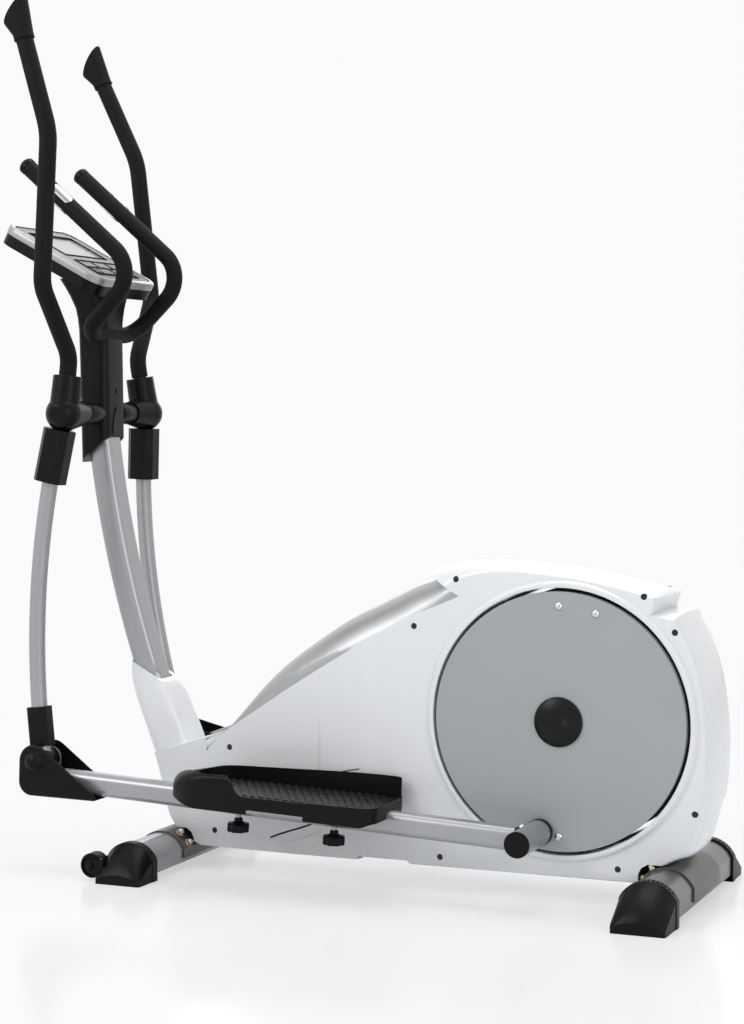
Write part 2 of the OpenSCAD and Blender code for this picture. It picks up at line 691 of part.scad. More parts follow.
module flywheel() color("gray") translate([flywheel_x, 0, flywheel_z]) difference() {
    union() {
        difference() {
            y_cylinder(flywheel_r, -30, flywheel_w - 30);
            for (y = [-31, flywheel_w - 38]) difference() {
                y_cylinder(flywheel_r - 22, y, y + 9);
                y_cylinder(30, -60, 60);
            }
        }
        y_cylinder(24, -32, pulley_y - 4);
        y_cylinder(small_pulley_r, pulley_y - 5, pulley_y + pulley_w + 1);
        y_cylinder(small_pulley_r + 3, pulley_y - 4, pulley_y - 2);
    }
    y_cylinder(6 + run_fit, -60, 60);
}
module brake_arm() color("dimgray") difference() {
    union() {
        arc_xz([flywheel_x, flywheel_z], 0, 146, 66) translate([flywheel_r + brake_gap, -6])
            square([9, 36]);
        translate([brake_pivot.x, 0, brake_pivot.y]) y_cylinder(9, -30, 6);
        for (a = [158 : 12 : 206]) translate([flywheel_x, 0, flywheel_z]) rotate([0, -a, 0])
            translate([flywheel_r + brake_gap - 3, -21, -9]) cube([4, 18, 18]);
    }
    translate([brake_pivot.x, 0, brake_pivot.y]) y_cylinder(brake_pin_r + run_fit, -60, 60);
}
module idler_pulley() color("dimgray") translate([idler_at.x, 0, idler_at.y]) difference() {
    y_cylinder(idler_r, pulley_y - 2, pulley_y + pulley_w + 2);
    y_cylinder(5 + run_fit, 0, 90);
}

// ---------------------------------------------------------------- swing arms
arm_r = ((rocker_len / 2) * (rocker_len / 2) + arm_bow * arm_bow) / (2 * arm_bow);
arm_splay = asin((joint_y - pivot_y) / rocker_len);
function arc_deg(w) = asin((rocker_len / 2 + w) / arm_r);     // w is measured up from the pivot
function arc_u(w) = arm_r - arm_bow - arm_r * cos(arc_deg(w));
module in_splay() { translate([0, pivot_y, 0]) rotate([arm_splay, 0, 0]) children(); }
// 2-D child along the bowed lower arm, from w_low to w_high.
module on_bow(w_low, w_high) {
    in_splay() arc_xz([arm_r - arm_bow, -rocker_len / 2], arm_r, 180 - arc_deg(w_high), arc_deg(w_high) - arc_deg(w_low))
        children();
}
hub_in = 28;        // reach of the hub towards the mast
hub_out = 20;       // reach of the hub outwards
arm_hub_r = 25;
eye_half = 23.5;
eye_r = 20;
module lower_arm(side) color("silver") on_swing(side) difference() {
    union() {
        on_bow(-rocker_len + 12, -62) ring_section(lower_tube_r, lower_tube_r - tube_wall);
        translate([0, 0, -rocker_len]) y_cylinder(eye_r, joint_y - eye_half, joint_y + eye_half);
    }
    translate([0, 0, -rocker_len]) y_cylinder(joint_axle_r + run_fit, joint_y - 60, joint_y + 60);
}
function arm_path() = [[0, pivot_y - 1, 18], [0, pivot_y - 11, bend_low], [-6, grip_y, bend_out],
    [-6, grip_y, bend_high], [-grip_reach, grip_y, grip_top]];
arm_bends = [50, 60, 150];
module upper_arm(side) color("dimgray") on_swing(side) difference() {
    union() {
        y_cylinder(arm_hub_r, pivot_y - hub_in, pivot_y + hub_out);
        pipe(arm_path(), arm_bends, upper_tube_r, upper_tube_r - tube_wall);
        on_bow(-150, -18) circle(lower_tube_r - tube_wall - 0.2);
    }
    y_cylinder(shaft_r + run_fit, pivot_y - 40, pivot_y + 40);
}
sleeve_top = 74;
function grip_path() = let (p = arm_path(), t = (sleeve_top + 2 - p[0].z) / (p[1].z - p[0].z))
    concat([p[0] + t * (p[1] - p[0])], [for (i = [1 : 4]) p[i]]);
tip_dir = unit([-grip_reach + 6, 0, grip_top - bend_high]);
module grip(side) color("black") on_swing(side) {
    pipe(grip_path(), arm_bends, grip_r, upper_tube_r + 0.1);
    translate(arm_path()[4]) rotate([0, -acos(tip_dir.z), 0]) difference() {
        union() {
            translate([0, 0, -8]) cylinder(r = grip_r + 3, h = 14);
            hull() {
                translate([0, 0, 4]) cylinder(r = grip_r + 3, h = 1, $fn = 36);
                translate([-2.3, 0, 53]) rotate([0, -36.7, 0]) linear_extrude(1)
                    scale([1, 0.6]) circle(37, $fn = 36);
            }
        }
        translate([0, 0, -9]) cylinder(r = grip_r + 0.1, h = 9 + touch);
        translate([0, 0, -1]) cylinder(r = upper_tube_r + 0.1, h = 2);
        hull() {
            translate([-2.3, 0, 53]) rotate([0, -36.7, 0]) translate([0, 0, 0.5]) linear_extrude(2)
                scale([1, 0.56]) circle(32, $fn = 36);
            translate([-2.3, 0, 53]) rotate([0, -36.7, 0]) translate([0, 0, -9]) linear_extrude(1)
                scale([1, 0.5]) circle(19, $fn = 36);
        }
    }
}
// Clamshell over the pivot with its upper and lower sleeves, its outer cap, and the sleeve above the lower joint.
taper_r = 24;
taper_len = 69;
cap_split = 24;
module ball_form(g) {
    translate([0, pivot_y, 0]) rotate([-90, 0, 0]) rotate_extrude() intersection() {
        union() {
            circle(ball_r - g);
            polygon([[0, -taper_len + 1.5 * g], [taper_r - g, -taper_len + 1.5 * g], [ball_r * 0.94 - g, -ball_r * 0.34], [0, -ball_r * 0.34]]);
        }
        translate([0, -100]) square([100, 100 + ball_r - 3 - g]);
    }
}
box_mid = -84;
module cover_body() {
    difference() {
        union() {
            ball_form(0);
            translate([0, pivot_y - 3, 20]) rotate([5.8, 0, 0]) cylinder(r1 = 30, r2 = 28.5, h = sleeve_top - 20);
            in_splay() translate([arc_u(box_mid), 0, box_mid]) rotate([0, arc_deg(box_mid), 0])
                linear_extrude(106, center = true) chamfered(58, 52, 12);
        }
        ball_form(3);
        translate([0, pivot_y - 1, 0]) rotate([6, 0, 0]) cylinder(r = grip_r + 1.5, h = sleeve_top - 3);
        pipe([arm_path()[0], arm_path()[1]], [], upper_tube_r + 0.1);
        on_bow(-150, -10) circle(lower_tube_r + 0.1);
        y_cylinder(shaft_r + 2, 60, pivot_y);
    }
}
module chamfered(w, h, c) {
    polygon([[w / 2, h / 2 - c], [w / 2 - c, h / 2], [c - w / 2, h / 2], [-w / 2, h / 2 - c],
        [-w / 2, c - h / 2], [c - w / 2, -h / 2], [w / 2 - c, -h / 2], [w / 2, c - h / 2]]);
}
module arm_covers(side) color("black") on_swing(side) {
    difference() {
        cover_body();
        translate([-60, pivot_y + cap_split, -60]) cube([120, 60, 120]);
    }
    intersection() {
        cover_body();
        translate([-60, pivot_y + cap_split + touch, -60]) cube([120, 60, 120]);
    }
    low_mid = 64 - rocker_len;
    in_splay() translate([arc_u(low_mid), 0, low_mid]) rotate([0, arc_deg(low_mid), 0])
        linear_extrude(78, center = true) difference() {
            rrect(42, 38, 8);
            circle(lower_tube_r + 0.5);
        }
}

// ---------------------------------------------------------------- pedal arms
beam_rise = asin(joint_rise / beam_len);
module on_beam_tube(x) { translate([0, joint_y, -joint_rise]) rotate([0, -beam_rise, 0]) translate([x, 0, 0]) children(); }
module beam_section(g) { rrect(beam_h - 2 * g, beam_w - 2 * g, 14 - g); }
module pedal_beam(side) color("silver") on_beam(side) difference() {
    union() {
        on_beam_tube(52) rotate([0, 90, 0]) linear_extrude(beam_len - 52 - sleeve_r + 6) difference() {
            beam_section(0);
            beam_section(tube_wall);
        }
        along_y(joint_y - 29, joint_y + 29) {
            circle(22);
            translate([0, -joint_rise - 18]) square([80, 36]);
            translate([-22, -joint_rise - 18]) square([44, 54]);
        }
        translate([beam_len, 0, 0]) y_cylinder(sleeve_r, disc_y + 15, sleeve_end - 1);
    }
    // room for the swing arm's eye
    along_y(joint_y - eye_half - touch, joint_y + eye_half + touch) {
        circle(eye_r + 3);
        rotate(20) translate([-eye_r - 3, 0]) square([2 * eye_r + 6, 60]);
        rotate(-20) translate([-eye_r - 3, 0]) square([2 * eye_r + 6, 60]);
    }
    y_cylinder(joint_axle_r + 0.02, joint_y - 60, joint_y + 60);
    translate([beam_len, 0, 0]) y_cylinder(pin_r + run_fit, disc_y, sleeve_end + 1);
    for (k = knob_x) on_beam_tube(k) rotate([180, 0, 0]) translate([0, 0, -60]) cylinder(r = stud_r + touch, h = 120);
}
knob_x = [pedal_x - knob_pitch / 2 + 10, pedal_x + knob_pitch / 2 + 10];
stud_r = 5;
stud_up = 4;        // how far a stud reaches above the tube
module arm_pins(side) color("black") on_beam(side) {
    y_cylinder(joint_axle_r, joint_y - 36, joint_y + 36);
    for (s = [-1, 1]) translate([0, joint_y + s * (boot_half + 29) / 2, 0])
        y_cylinder(13, touch - (boot_half - 29) / 2, (boot_half - 29) / 2 - touch);
    translate([0, joint_y + boot_half + touch, 0]) rotate([-90, 0, 0]) dome(21, 12);
    translate([beam_len, 0, 0]) {
        y_cylinder(pin_r, disc_y + 3.2, sleeve_end - 2);
        y_cylinder(sleeve_r + 1, disc_y + 3.2, disc_y + 15 - touch);
        y_cylinder(sleeve_r, sleeve_end - 1 + touch, sleeve_end + 2);
    }
}
boot_half = 42;
module boot_side(g) {
    hull() {
        circle(34 - g, $fn = 40);
        translate([-4, -40]) circle(28 - g, $fn = 40);
        translate([136, -52]) circle(6 - g, $fn = 20);
    }
}
module joint_boot(side) color("black") on_beam(side) difference() {
    along_y(joint_y - boot_half, joint_y + boot_half) boot_side(0);
    along_y(joint_y - boot_half + 3, joint_y + boot_half - 3) {
        hull() {
            boot_side(3);
            translate([220, -52]) circle(3, $fn = 20);
            translate([220, 80]) square(1);
        }
        translate([-100, -18]) square([400, 200]);
    }
    y_cylinder(13 + touch, joint_y - 60, joint_y + 60);
}

// ---------------------------------------------------------------- pedals
pedal_pitch = beam_rise + 0.54;
nose_r = 70;
heel_r = 26;
pedal_y = 190;
module on_pedal() { translate([pedal_x, pedal_y, pedal_z]) rotate([0, -pedal_pitch, 0]) children(); }
module pedal_plan(g) {
    // half-round nose with a flat, straight sides and rounded heel
    x0 = -pedal_len / 2 + nose_r;
    w = pedal_w / 2;
    translate([x0, 0]) for (y = [nose_r - w, w - nose_r]) translate([0, y]) circle(nose_r - g);
    translate([g - pedal_len / 2, nose_r - w]) square([nose_r, 2 * (w - nose_r)]);
    translate([x0, g - w]) square([pedal_len - nose_r - heel_r, 2 * w - 2 * g]);
    translate([x0, g - w + heel_r]) square([pedal_len - nose_r - g, 2 * w - 2 * heel_r - 2 * g]);
    for (y = [heel_r - w, w - heel_r]) translate([pedal_len / 2 - heel_r, y]) circle(heel_r - g);
}
module side_cut() {
    // everything above the lip on the outer side, behind the toe wrap
    translate([0, 200, 0]) rotate([90, 0, 0]) linear_extrude(200 - 2 + pedal_w / 2 - 2 * pedal_wall - 4) {
        polygon([[-112, pedal_lip], [pedal_len, pedal_lip + 12], [pedal_len, 100], [-170, 100], [-146, pedal_rail - 12]]);
    }
}
module pedal(side) color("black") on_beam(side) difference() {
    on_pedal() difference() {
        union() {
            difference() {
                translate([0, 0, -pedal_skirt]) linear_extrude(pedal_skirt + pedal_rail) pedal_plan(0);
                translate([0, 0, -pedal_skirt - 1]) linear_extrude(pedal_skirt + pedal_rail + 2) pedal_plan(pedal_wall);
            }
            translate([0, 0, -4]) linear_extrude(4) pedal_plan(1);
            for (x = [-150 : 25 : 150]) translate([x, 0, 0]) rotate([0, 0, 62]) translate([-2, -60, 0]) cube([4, 120, 1.6]);
            for (k = knob_x) translate([k - pedal_x, pedal_y_shift, -9]) cylinder(r = 14, h = 9);
        }
        side_cut();
        translate([-62, 20, -pedal_skirt - 1]) cube([90, 100, 12]);
        translate([-pedal_len, -110, pedal_rail - 2]) rotate([0, 2, 0]) cube([pedal_len * 2, 220, 60]);
    }
    on_beam_tube(100) rotate([0, 90, 0]) linear_extrude(beam_len - 200) {
        beam_section(-touch);
        translate([0, -beam_w / 2 - touch]) square([90, beam_w + 2 * touch]);
    }
    for (k = knob_x) on_beam_tube(k) translate([0, 0, -10]) cylinder(r = stud_r + run_fit, h = beam_h / 2 + 10 + stud_up + touch);
}
pedal_y_shift = joint_y - pedal_y;
module knob(side, i) color("black") on_beam(side) on_beam_tube(knob_x[i]) {
    translate([0, 0, -beam_h / 2 - 34]) difference() {
        union() {
            cylinder(r = knob_r, h = 20);
            cylinder(r = 11, h = 33.6);
        }
        for (a = [0 : 45 : 315]) rotate(a) translate([knob_r + 3, 0, -1]) cylinder(r = 6, h = 22, $fn = 24);
    }
    translate([0, 0, -beam_h / 2 - 20]) cylinder(r = stud_r, h = beam_h + 20 + stud_up);
}

// ---------------------------------------------------------------- housing
// Outline of the housing in the middle plane: [x from the crank axis, z, rounding of the edge].
front_edge = [[-756, 42, 8], [-798, 60, 12], [-828, 92, 16], [-842, 132, 18], [-850, 166, 18], [-868, 222, 14]];
spine = [[-745, 262, 12], [-742, 240, 16], [-696, 288, 34], [-611, 384, 60], [-523, 454, 70], [-354, 564, 74],
    [-290, 597, 66], [-216, 620, 36], [-136, 624, 18], [-36, 616, 12], [68, 600, 8], [176, 577, 10]];
notch = [[187, 570, 10], [176, 543, 10], [218, 540, 12]];
rear_edge = [[228, 523, 14], [254, 472, 14], [273, 401, 12], [284, 308, 14], [281, 212, 16], [271, 174, 18],
    [255, 117, 16], [240, 97, 12], [214, 87, 8], [183, 68, 8], [151, 42, 8]];
function curve(p, n) = [for (i = [0 : len(p) - 2], k = [0 : n - 1])
    let (t = k / n, a = p[max(i - 1, 0)], b = p[i], c = p[i + 1], d = p[min(i + 2, len(p) - 1)])
    0.5 * ((2 * b) + (c - a) * t + (2 * a - 5 * b + 4 * c - d) * t * t + (3 * b - a - 3 * c + d) * t * t * t)];
outline = [for (p = concat(curve(front_edge, 2), [front_edge[5]], [spine[0]],
    curve([for (i = [1 : 11]) spine[i]], 3), [spine[11]], notch, curve(rear_edge, 3), [rear_edge[10]]))
    [crank_x + p[0], p[1], p[2]]];
count = len(outline);
function xz(p) = [p.x, p.y];
function inward(i) = let (a = outline[(i + count - 1) % count], b = outline[(i + 1) % count], d = unit(xz(b) - xz(a)))
    [d.y, -d.x];
steps = [0, 22, 42, 60, 76, 90];
function layer(t, g, w) = [for (i = [0 : count - 1]) let (q = xz(outline[i]) + inward(i) * (g + outline[i][2] * (1 - cos(t))))
    [q.x, w * pow(sin(t), 0.85), q.y]];
// Half of the housing's form on the +Y side, g inside the outer skin.
module half_form(g) {
    w = shell_y - g;
    pts = concat([for (p = layer(0, g, w)) [p.x, -0.5, p.z]], [for (t = steps) each layer(t, g, w)],
        [for (p = layer(90, g, w)) [p.x, w + 2, p.z]]);
    rows = len(steps) + 2;
    difference() {
        polyhedron(points = pts, faces = concat(
            [[for (i = [0 : count - 1]) i]],
            [for (r = [0 : rows - 2], i = [0 : count - 1])
                [r * count + i, (r + 1) * count + i, (r + 1) * count + (i + 1) % count, r * count + (i + 1) % count]],
            [[for (i = [count - 1 : -1 : 0]) (rows - 1) * count + i]]));
        translate([-900, w, -10]) cube([1900, 20, 900]);
    }
}
taper_x = crank_x - 420;
taper_deg = 5.7;
module taper(g) { translate([taper_x, shell_y - g, 0]) rotate([0, 0, taper_deg]) translate([-800, 0, -10]) cube([830, 100, 800]); }
// Side-view region of the silver spine cover.
spine_end = [-199, 560];
spine_front = -742;
spine_back = -290;
spine_line = [[-728, 256], [-652, 306], [-558, 367], [-485, 412], [-319, 510], [-260, 534], [-199, 560]];
module spine_region(g) {
    translate([crank_x, 0]) polygon(concat([for (p = curve(spine_line, 3)) [p.x, p.y + g]],
        [[spine_end.x - 4 * g, spine_end.y + g], [spine_back - g, 612 - g], [spine_back - g, 900],
            [spine_front + g, 900], [spine_front + g, 232 + 3 * g]]));
}
screw_head_r = 5.8;
screw_spots = [[-289, 501], [-205, 592], [157, 571], [215, 508], [254, 181], [111, 70], [-689, 244], [-724, 76], [-236, 66]];
lip_t = 4;
module shell_half() {
    difference() {
        half_form(0);
        taper(0);
        difference() {
            half_form(shell_wall);
            taper(shell_wall);
        }
        translate([crank_x, 0, crank_z]) y_cylinder(disc_r + disc_gap + lip_t / 2, 0, 200);
        translate([-600, -1, 0]) cube([1500, 1 + touch / 2, 800]);
        along_y(-5, 200) spine_region(0);
        translate([front_x, 0, 0]) along_y(-5, 200) arch(front_w + 2 * saddle_t + 4 * touch, front_h + saddle_t + 2 * touch, -10);
        translate([rear_x, 0, 0]) along_y(-5, 200) arch(rear_w + 2 * saddle_t + 4 * touch, rear_h + saddle_t + 2 * touch, -10);
        translate([-500, -1, 0]) cube([1400, 47, 62]);
        translate([crank_x - 411, -1, 20]) cube([116, 200, 34]);
        for (p = screw_spots) translate([crank_x + p.x, 0, p.y])
            y_cylinder(screw_head_r + touch, screw_depth(crank_x + p.x) - 6, 200);
        mast_arc(150, 300) rrect(mast_d + 4, mast_w + 4, 15);
        translate([rear_x, 0, 0]) saddle_spots(rear_w, rear_h, -1) cylinder(r = 11, h = 16);
    }
    translate([crank_x, 0, crank_z]) difference() {
        union() {
            y_cylinder(disc_r + disc_gap + ring_w, shell_y - shell_wall + 0.5, shell_y + ring_h);
            y_cylinder(disc_r + disc_gap + lip_t, shell_y - 30, shell_y - 1);
        }
        y_cylinder(disc_r + disc_gap, 0, 200);
    }
}
module left_shell() color("white") mirror([0, 1, 0]) shell_half();
module right_shell() color("white") shell_half();
module spine_cover() color("silver") both() intersection() {
    difference() {
        half_form(0);
        taper(0);
        difference() { half_form(shell_wall); taper(shell_wall); }
    }
    along_y(-1, 200) spine_region(touch);
}
module shell_screws() color("dimgray") both() for (p = screw_spots) translate([crank_x + p.x, 0, p.y])
    y_cylinder(screw_head_r, screw_depth(crank_x + p.x) - 5, screw_depth(crank_x + p.x) - 1);
function screw_depth(x) = x > taper_x ? shell_y - 1 : shell_y - 1 - (taper_x - x) * tan(taper_deg);

module left_lower_arm() lower_arm(left);
module left_upper_arm() upper_arm(left);
module left_arm_covers() arm_covers(left);
module left_grip() grip(left);
module right_lower_arm() lower_arm(right);
module right_upper_arm() upper_arm(right);
module right_arm_covers() arm_covers(right);
module right_grip() grip(right);
module left_pedal_beam() pedal_beam(left);
module left_arm_pins() arm_pins(left);
module left_joint_boot() joint_boot(left);
module left_pedal() pedal(left);
module right_pedal_beam() pedal_beam(right);
module right_arm_pins() arm_pins(right);
module right_joint_boot() joint_boot(right);
module right_pedal() pedal(right);
module left_roller() roller(left);
module right_roller() roller(right);
module left_front_knob() knob(left, 0);
module left_rear_knob() knob(left, 1);
module right_front_knob() knob(right, 0);
module right_rear_knob() knob(right, 1);

main_frame();
mast();
mast_boot();
mast_cover();
left_shell();
right_shell();
spine_cover();
front_stabilizer();
rear_stabilizer();
front_end_caps();
rear_end_caps();
saddle_plates();
frame_bolts();
shell_screws();
crank_bearings();
drive_belt();
brake_servo();
flywheel_axle();
pivot_shaft();
handlebar();
handlebar_caps();
pulse_sensors();
console_base();
console_bezel();
console_screen();
crank_axle();
crank_arms();
crank_discs();
hub_caps();
drive_pulley();
flywheel();
brake_arm();
idler_pulley();
left_lower_arm();
left_upper_arm();
left_arm_covers();
left_grip();
right_lower_arm();
right_upper_arm();
right_arm_covers();
right_grip();
left_pedal_beam();
left_arm_pins();
left_joint_boot();
left_pedal();
right_pedal_beam();
right_arm_pins();
right_joint_boot();
right_pedal();
left_roller();
right_roller();
left_front_knob();
left_rear_knob();
right_front_knob();
right_rear_knob();
start_key();
stop_key();
up_key();
down_key();
enter_key();
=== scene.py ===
import bpy
import bmesh
import math
from mathutils import Matrix, Vector


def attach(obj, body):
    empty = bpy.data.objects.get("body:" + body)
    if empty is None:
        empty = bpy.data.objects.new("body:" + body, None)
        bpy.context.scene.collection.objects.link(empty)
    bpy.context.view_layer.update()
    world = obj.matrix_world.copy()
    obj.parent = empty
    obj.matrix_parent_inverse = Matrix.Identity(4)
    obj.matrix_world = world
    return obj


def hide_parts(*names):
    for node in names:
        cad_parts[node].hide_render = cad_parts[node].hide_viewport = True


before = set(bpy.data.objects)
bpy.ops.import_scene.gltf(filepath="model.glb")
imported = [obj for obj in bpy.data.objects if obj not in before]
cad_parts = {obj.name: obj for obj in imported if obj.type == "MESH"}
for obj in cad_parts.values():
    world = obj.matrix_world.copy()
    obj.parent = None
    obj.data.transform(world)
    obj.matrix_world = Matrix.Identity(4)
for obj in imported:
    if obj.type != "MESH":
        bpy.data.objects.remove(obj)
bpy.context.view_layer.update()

# The crank axis, the swing-arm pivot and the curve of the mast, in metres, as the solids have them.
crank_x, crank_z = 0.4540, 0.336
pivot_x, pivot_z = -0.5440, 0.900
mast_x, mast_z, mast_r = -0.5630, 1.106, 2.185


# ---------------------------------------------------------------- camera
# A long lens to the left of the machine and a little towards its rear, at the height of the housing's top and
# looking slightly down.
cam_data = bpy.data.cameras.new("camera")
cam_data.lens = 78.32
cam_data.sensor_width = 36
cam_data.sensor_fit = "AUTO"
cam_data.clip_end = 60
cam = bpy.data.objects.new("camera", cam_data)
bpy.context.scene.collection.objects.link(cam)
yaw, pitch = math.radians(22.430), math.radians(2.758)
forward = Vector((-math.sin(yaw) * math.cos(pitch), math.cos(yaw) * math.cos(pitch), -math.sin(pitch)))
side_on = Vector((math.cos(yaw), math.sin(yaw), 0))
turn = Matrix((side_on, side_on.cross(forward), -forward)).transposed().to_4x4()
cam.matrix_world = Matrix.Translation((crank_x + 1.2346, -3.9896, 0.9178)) @ turn
bpy.context.scene.camera = cam
bpy.context.scene.view_settings.view_transform = "Standard"


# ---------------------------------------------------------------- studio
# A bright even room: pale walls all round, a broad soft lamp at the front left and three weaker ones, and a smooth
# white floor that takes a soft shadow and a faint reflection and runs out into the backdrop.
backdrop_white = (0.955, 0.96, 0.965, 1)
world = bpy.data.worlds.new("studio")
bpy.context.scene.world = world
world.use_nodes = True
wt = world.node_tree
wt.nodes.clear()
air = wt.nodes.new("ShaderNodeOutputWorld")
rays = wt.nodes.new("ShaderNodeLightPath")
camera_or_gloss = wt.nodes.new("ShaderNodeMath")
camera_or_gloss.operation = "MAXIMUM"
or_glass = wt.nodes.new("ShaderNodeMath")
or_glass.operation = "MAXIMUM"
room = wt.nodes.new("ShaderNodeMixShader")
walls = wt.nodes.new("ShaderNodeBackground")
walls.inputs["Color"].default_value = (0.96, 0.98, 1.0, 1)
walls.inputs["Strength"].default_value = 0.50
backdrop = wt.nodes.new("ShaderNodeBackground")
backdrop.inputs["Color"].default_value = backdrop_white
backdrop.inputs["Strength"].default_value = 1.0
for out, into in ((rays.outputs["Is Camera Ray"], camera_or_gloss.inputs[0]),
                  (rays.outputs["Is Glossy Ray"], camera_or_gloss.inputs[1]),
                  (camera_or_gloss.outputs[0], or_glass.inputs[0]),
                  (rays.outputs["Is Transmission Ray"], or_glass.inputs[1]), (or_glass.outputs[0], room.inputs[0]),
                  (walls.outputs[0], room.inputs[1]), (backdrop.outputs[0], room.inputs[2]),
                  (room.outputs[0], air.inputs[0])):
    wt.links.new(out, into)
for name, at, to, size, power in (("key", (-2.6, -3.4, 3.3), (-0.1, 0, 0.6), 2.4, 80),
                                  ("fill", (3.6, -2.4, 2.0), (0.1, 0, 0.5), 2.2, 34),
                                  ("top", (0.2, 0.4, 4.2), (0.0, 0, 0.4), 2.6, 62),
                                  ("back", (-1.2, 4.0, 2.6), (0.0, 0, 0.8), 2.6, 40)):
    lamp = bpy.data.lights.new(name, "AREA")
    lamp.size = size
    lamp.energy = power
    lit = bpy.data.objects.new(name, lamp)
    bpy.context.scene.collection.objects.link(lit)
    lit.location = at
    lit.rotation_euler = (Vector(to) - Vector(at)).to_track_quat("-Z", "Y").to_euler()

bm = bmesh.new()
bmesh.ops.create_grid(bm, x_segments=1, y_segments=1, size=30)
floor_mesh = bpy.data.meshes.new("floor")
bm.to_mesh(floor_mesh)
bm.free()
floor = bpy.data.objects.new("floor", floor_mesh)
bpy.context.scene.collection.objects.link(floor)
floor_sheet = bpy.data.materials.new("floor_sheet")
floor_sheet.use_nodes = True
nt = floor_sheet.node_tree
sheet = nt.nodes["Principled BSDF"]
sheet.inputs["Base Color"].default_value = (0.93, 0.935, 0.94, 1)
sheet.inputs["Roughness"].default_value = 0.16
sheet.inputs["Specular IOR Level"].default_value = 0.30
spot = nt.nodes.new("ShaderNodeTexCoord")
reach = nt.nodes.new("ShaderNodeVectorMath")
reach.operation = "LENGTH"
fade = nt.nodes.new("ShaderNodeMapRange")
fade.inputs["From Min"].default_value = 0.9
fade.inputs["From Max"].default_value = 3.2
fade.inputs["To Min"].default_value = 0.55
fade.inputs["To Max"].default_value = 1.0
ray = nt.nodes.new("ShaderNodeLightPath")
share = nt.nodes.new("ShaderNodeMath")
share.operation = "MULTIPLY"
glow = nt.nodes.new("ShaderNodeEmission")
glow.inputs["Color"].default_value = backdrop_white
blend = nt.nodes.new("ShaderNodeMixShader")
for out, into in ((spot.outputs["Object"], reach.inputs[0]), (reach.outputs["Value"], fade.inputs["Value"]),
                  (fade.outputs["Result"], share.inputs[0]), (ray.outputs["Is Camera Ray"], share.inputs[1]),
                  (share.outputs[0], blend.inputs[0]), (sheet.outputs[0], blend.inputs[1]),
                  (glow.outputs[0], blend.inputs[2]),
                  (blend.outputs[0], nt.nodes["Material Output"].inputs["Surface"])):
    nt.links.new(out, into)
floor.data.materials.append(floor_sheet)


# ---------------------------------------------------------------- housing shells
# Two white moulded halves, 3 mm thick, screwed together over the mechanism. Each is lofted from one side outline, whose
# points are a place behind the crank axis, a height and how far the edge rounds in towards the flat side, in mm.
# A turned ring frames the crank disc, and a shallow scoop with a dark slit lies low on each side.
front_edge = [(-756, 42, 8), (-798, 60, 12), (-828, 92, 16), (-842, 132, 18), (-850, 166, 18), (-866.5, 222, 14)]
back_line = [(-742, 240, 16), (-696, 288, 34), (-611, 384, 60), (-523, 454, 70), (-354, 564, 74), (-290, 597, 66),
             (-216, 620, 36), (-136, 624, 18), (-36, 616, 12), (68, 600, 8), (176, 577, 10)]
notch = [(187, 570, 10), (176, 543, 10), (218, 540, 12)]
rear_edge = [(228, 523, 14), (254, 472, 14), (273, 401, 12), (284, 308, 14), (281, 212, 16), (271, 174, 18),
             (255, 117, 16), (240, 97, 12), (214, 87, 8), (183, 68, 8), (151, 42, 8)]
shell_y, taper_start, bend, taper_slope = 92, -420, 180, math.tan(math.radians(5.7))


def curve_through(points, cuts):
    # A smooth run through the given points.
    run = []
    for i in range(len(points) - 1):
        a, b, c, d = (Vector(points[j]) for j in (max(i - 1, 0), i, i + 1, min(i + 2, len(points) - 1)))
        for k in range(cuts):
            t = k / cuts
            run.append(0.5 * (2 * b + (c - a) * t + (2 * a - 5 * b + 4 * c - d) * t * t
                              + (3 * b - a - 3 * c + d) * t ** 3))
    return run + [Vector(points[-1])]


outline = (curve_through(front_edge, 6) + [Vector((-745, 262, 12))] + curve_through(back_line, 9)
           + [Vector(p) for p in notch] + curve_through(rear_edge, 7))
count = len(outline)
inward = []
for i in range(count):
    along = outline[(i + 1) % count] - outline[i - 1]
    inward.append(Vector((along.y, -along.x)).normalized())


def new_piece(name, bm):
    # Turns the faces outwards and makes an object of the form.
    bmesh.ops.recalc_face_normals(bm, faces=bm.faces)
    mesh = bpy.data.meshes.new(name)
    bm.to_mesh(mesh)
    bm.free()
    piece = bpy.data.objects.new(name, mesh)
    bpy.context.scene.collection.objects.link(piece)
    return piece


def half_loft(name, gap, dip=0.0):
    # One half of the housing's form, gap mm inside its skin; dip lowers it under the white top's front edge.
    w = shell_y - gap
    bm = bmesh.new()
    spot = bm.verts.layers.int.new("spot")

    def place(v, deg, y):
        t = math.radians(deg)
        p = outline[v[spot]]
        x, z = Vector((p.x, p.y)) + inward[v[spot]] * (gap + p.z * (1 - math.cos(t)))
        s = min(max((x + 470) / 150, 0), 1)
        down = dip * s * s * (3 - 2 * s)
        v.co = (crank_x + (x + 0.45 * down) / 1000, y / 1000, (z - 0.9 * down) / 1000)

    ring = []
    for i in range(count):
        v = bm.verts.new((0, 0, 0))
        v[spot] = i
        ring.append(v)
    edges = [bm.edges.new((ring[i], ring[(i + 1) % count])) for i in range(count)]
    for v in ring:
        place(v, 0, -2)
    bmesh.ops.contextual_create(bm, geom=edges)
    for deg in list(range(0, 91, 6)) + [91]:
        grown = bmesh.ops.extrude_edge_only(bm, edges=edges)["geom"]
        edges = [g for g in grown if isinstance(g, bmesh.types.BMEdge)]
        for v in (g for g in grown if isinstance(g, bmesh.types.BMVert)):
            place(v, min(deg, 90), w + 4 if deg > 90 else w * math.sin(math.radians(deg)) ** 0.85)
    bmesh.ops.contextual_create(bm, geom=edges)
    return new_piece(name, bm)


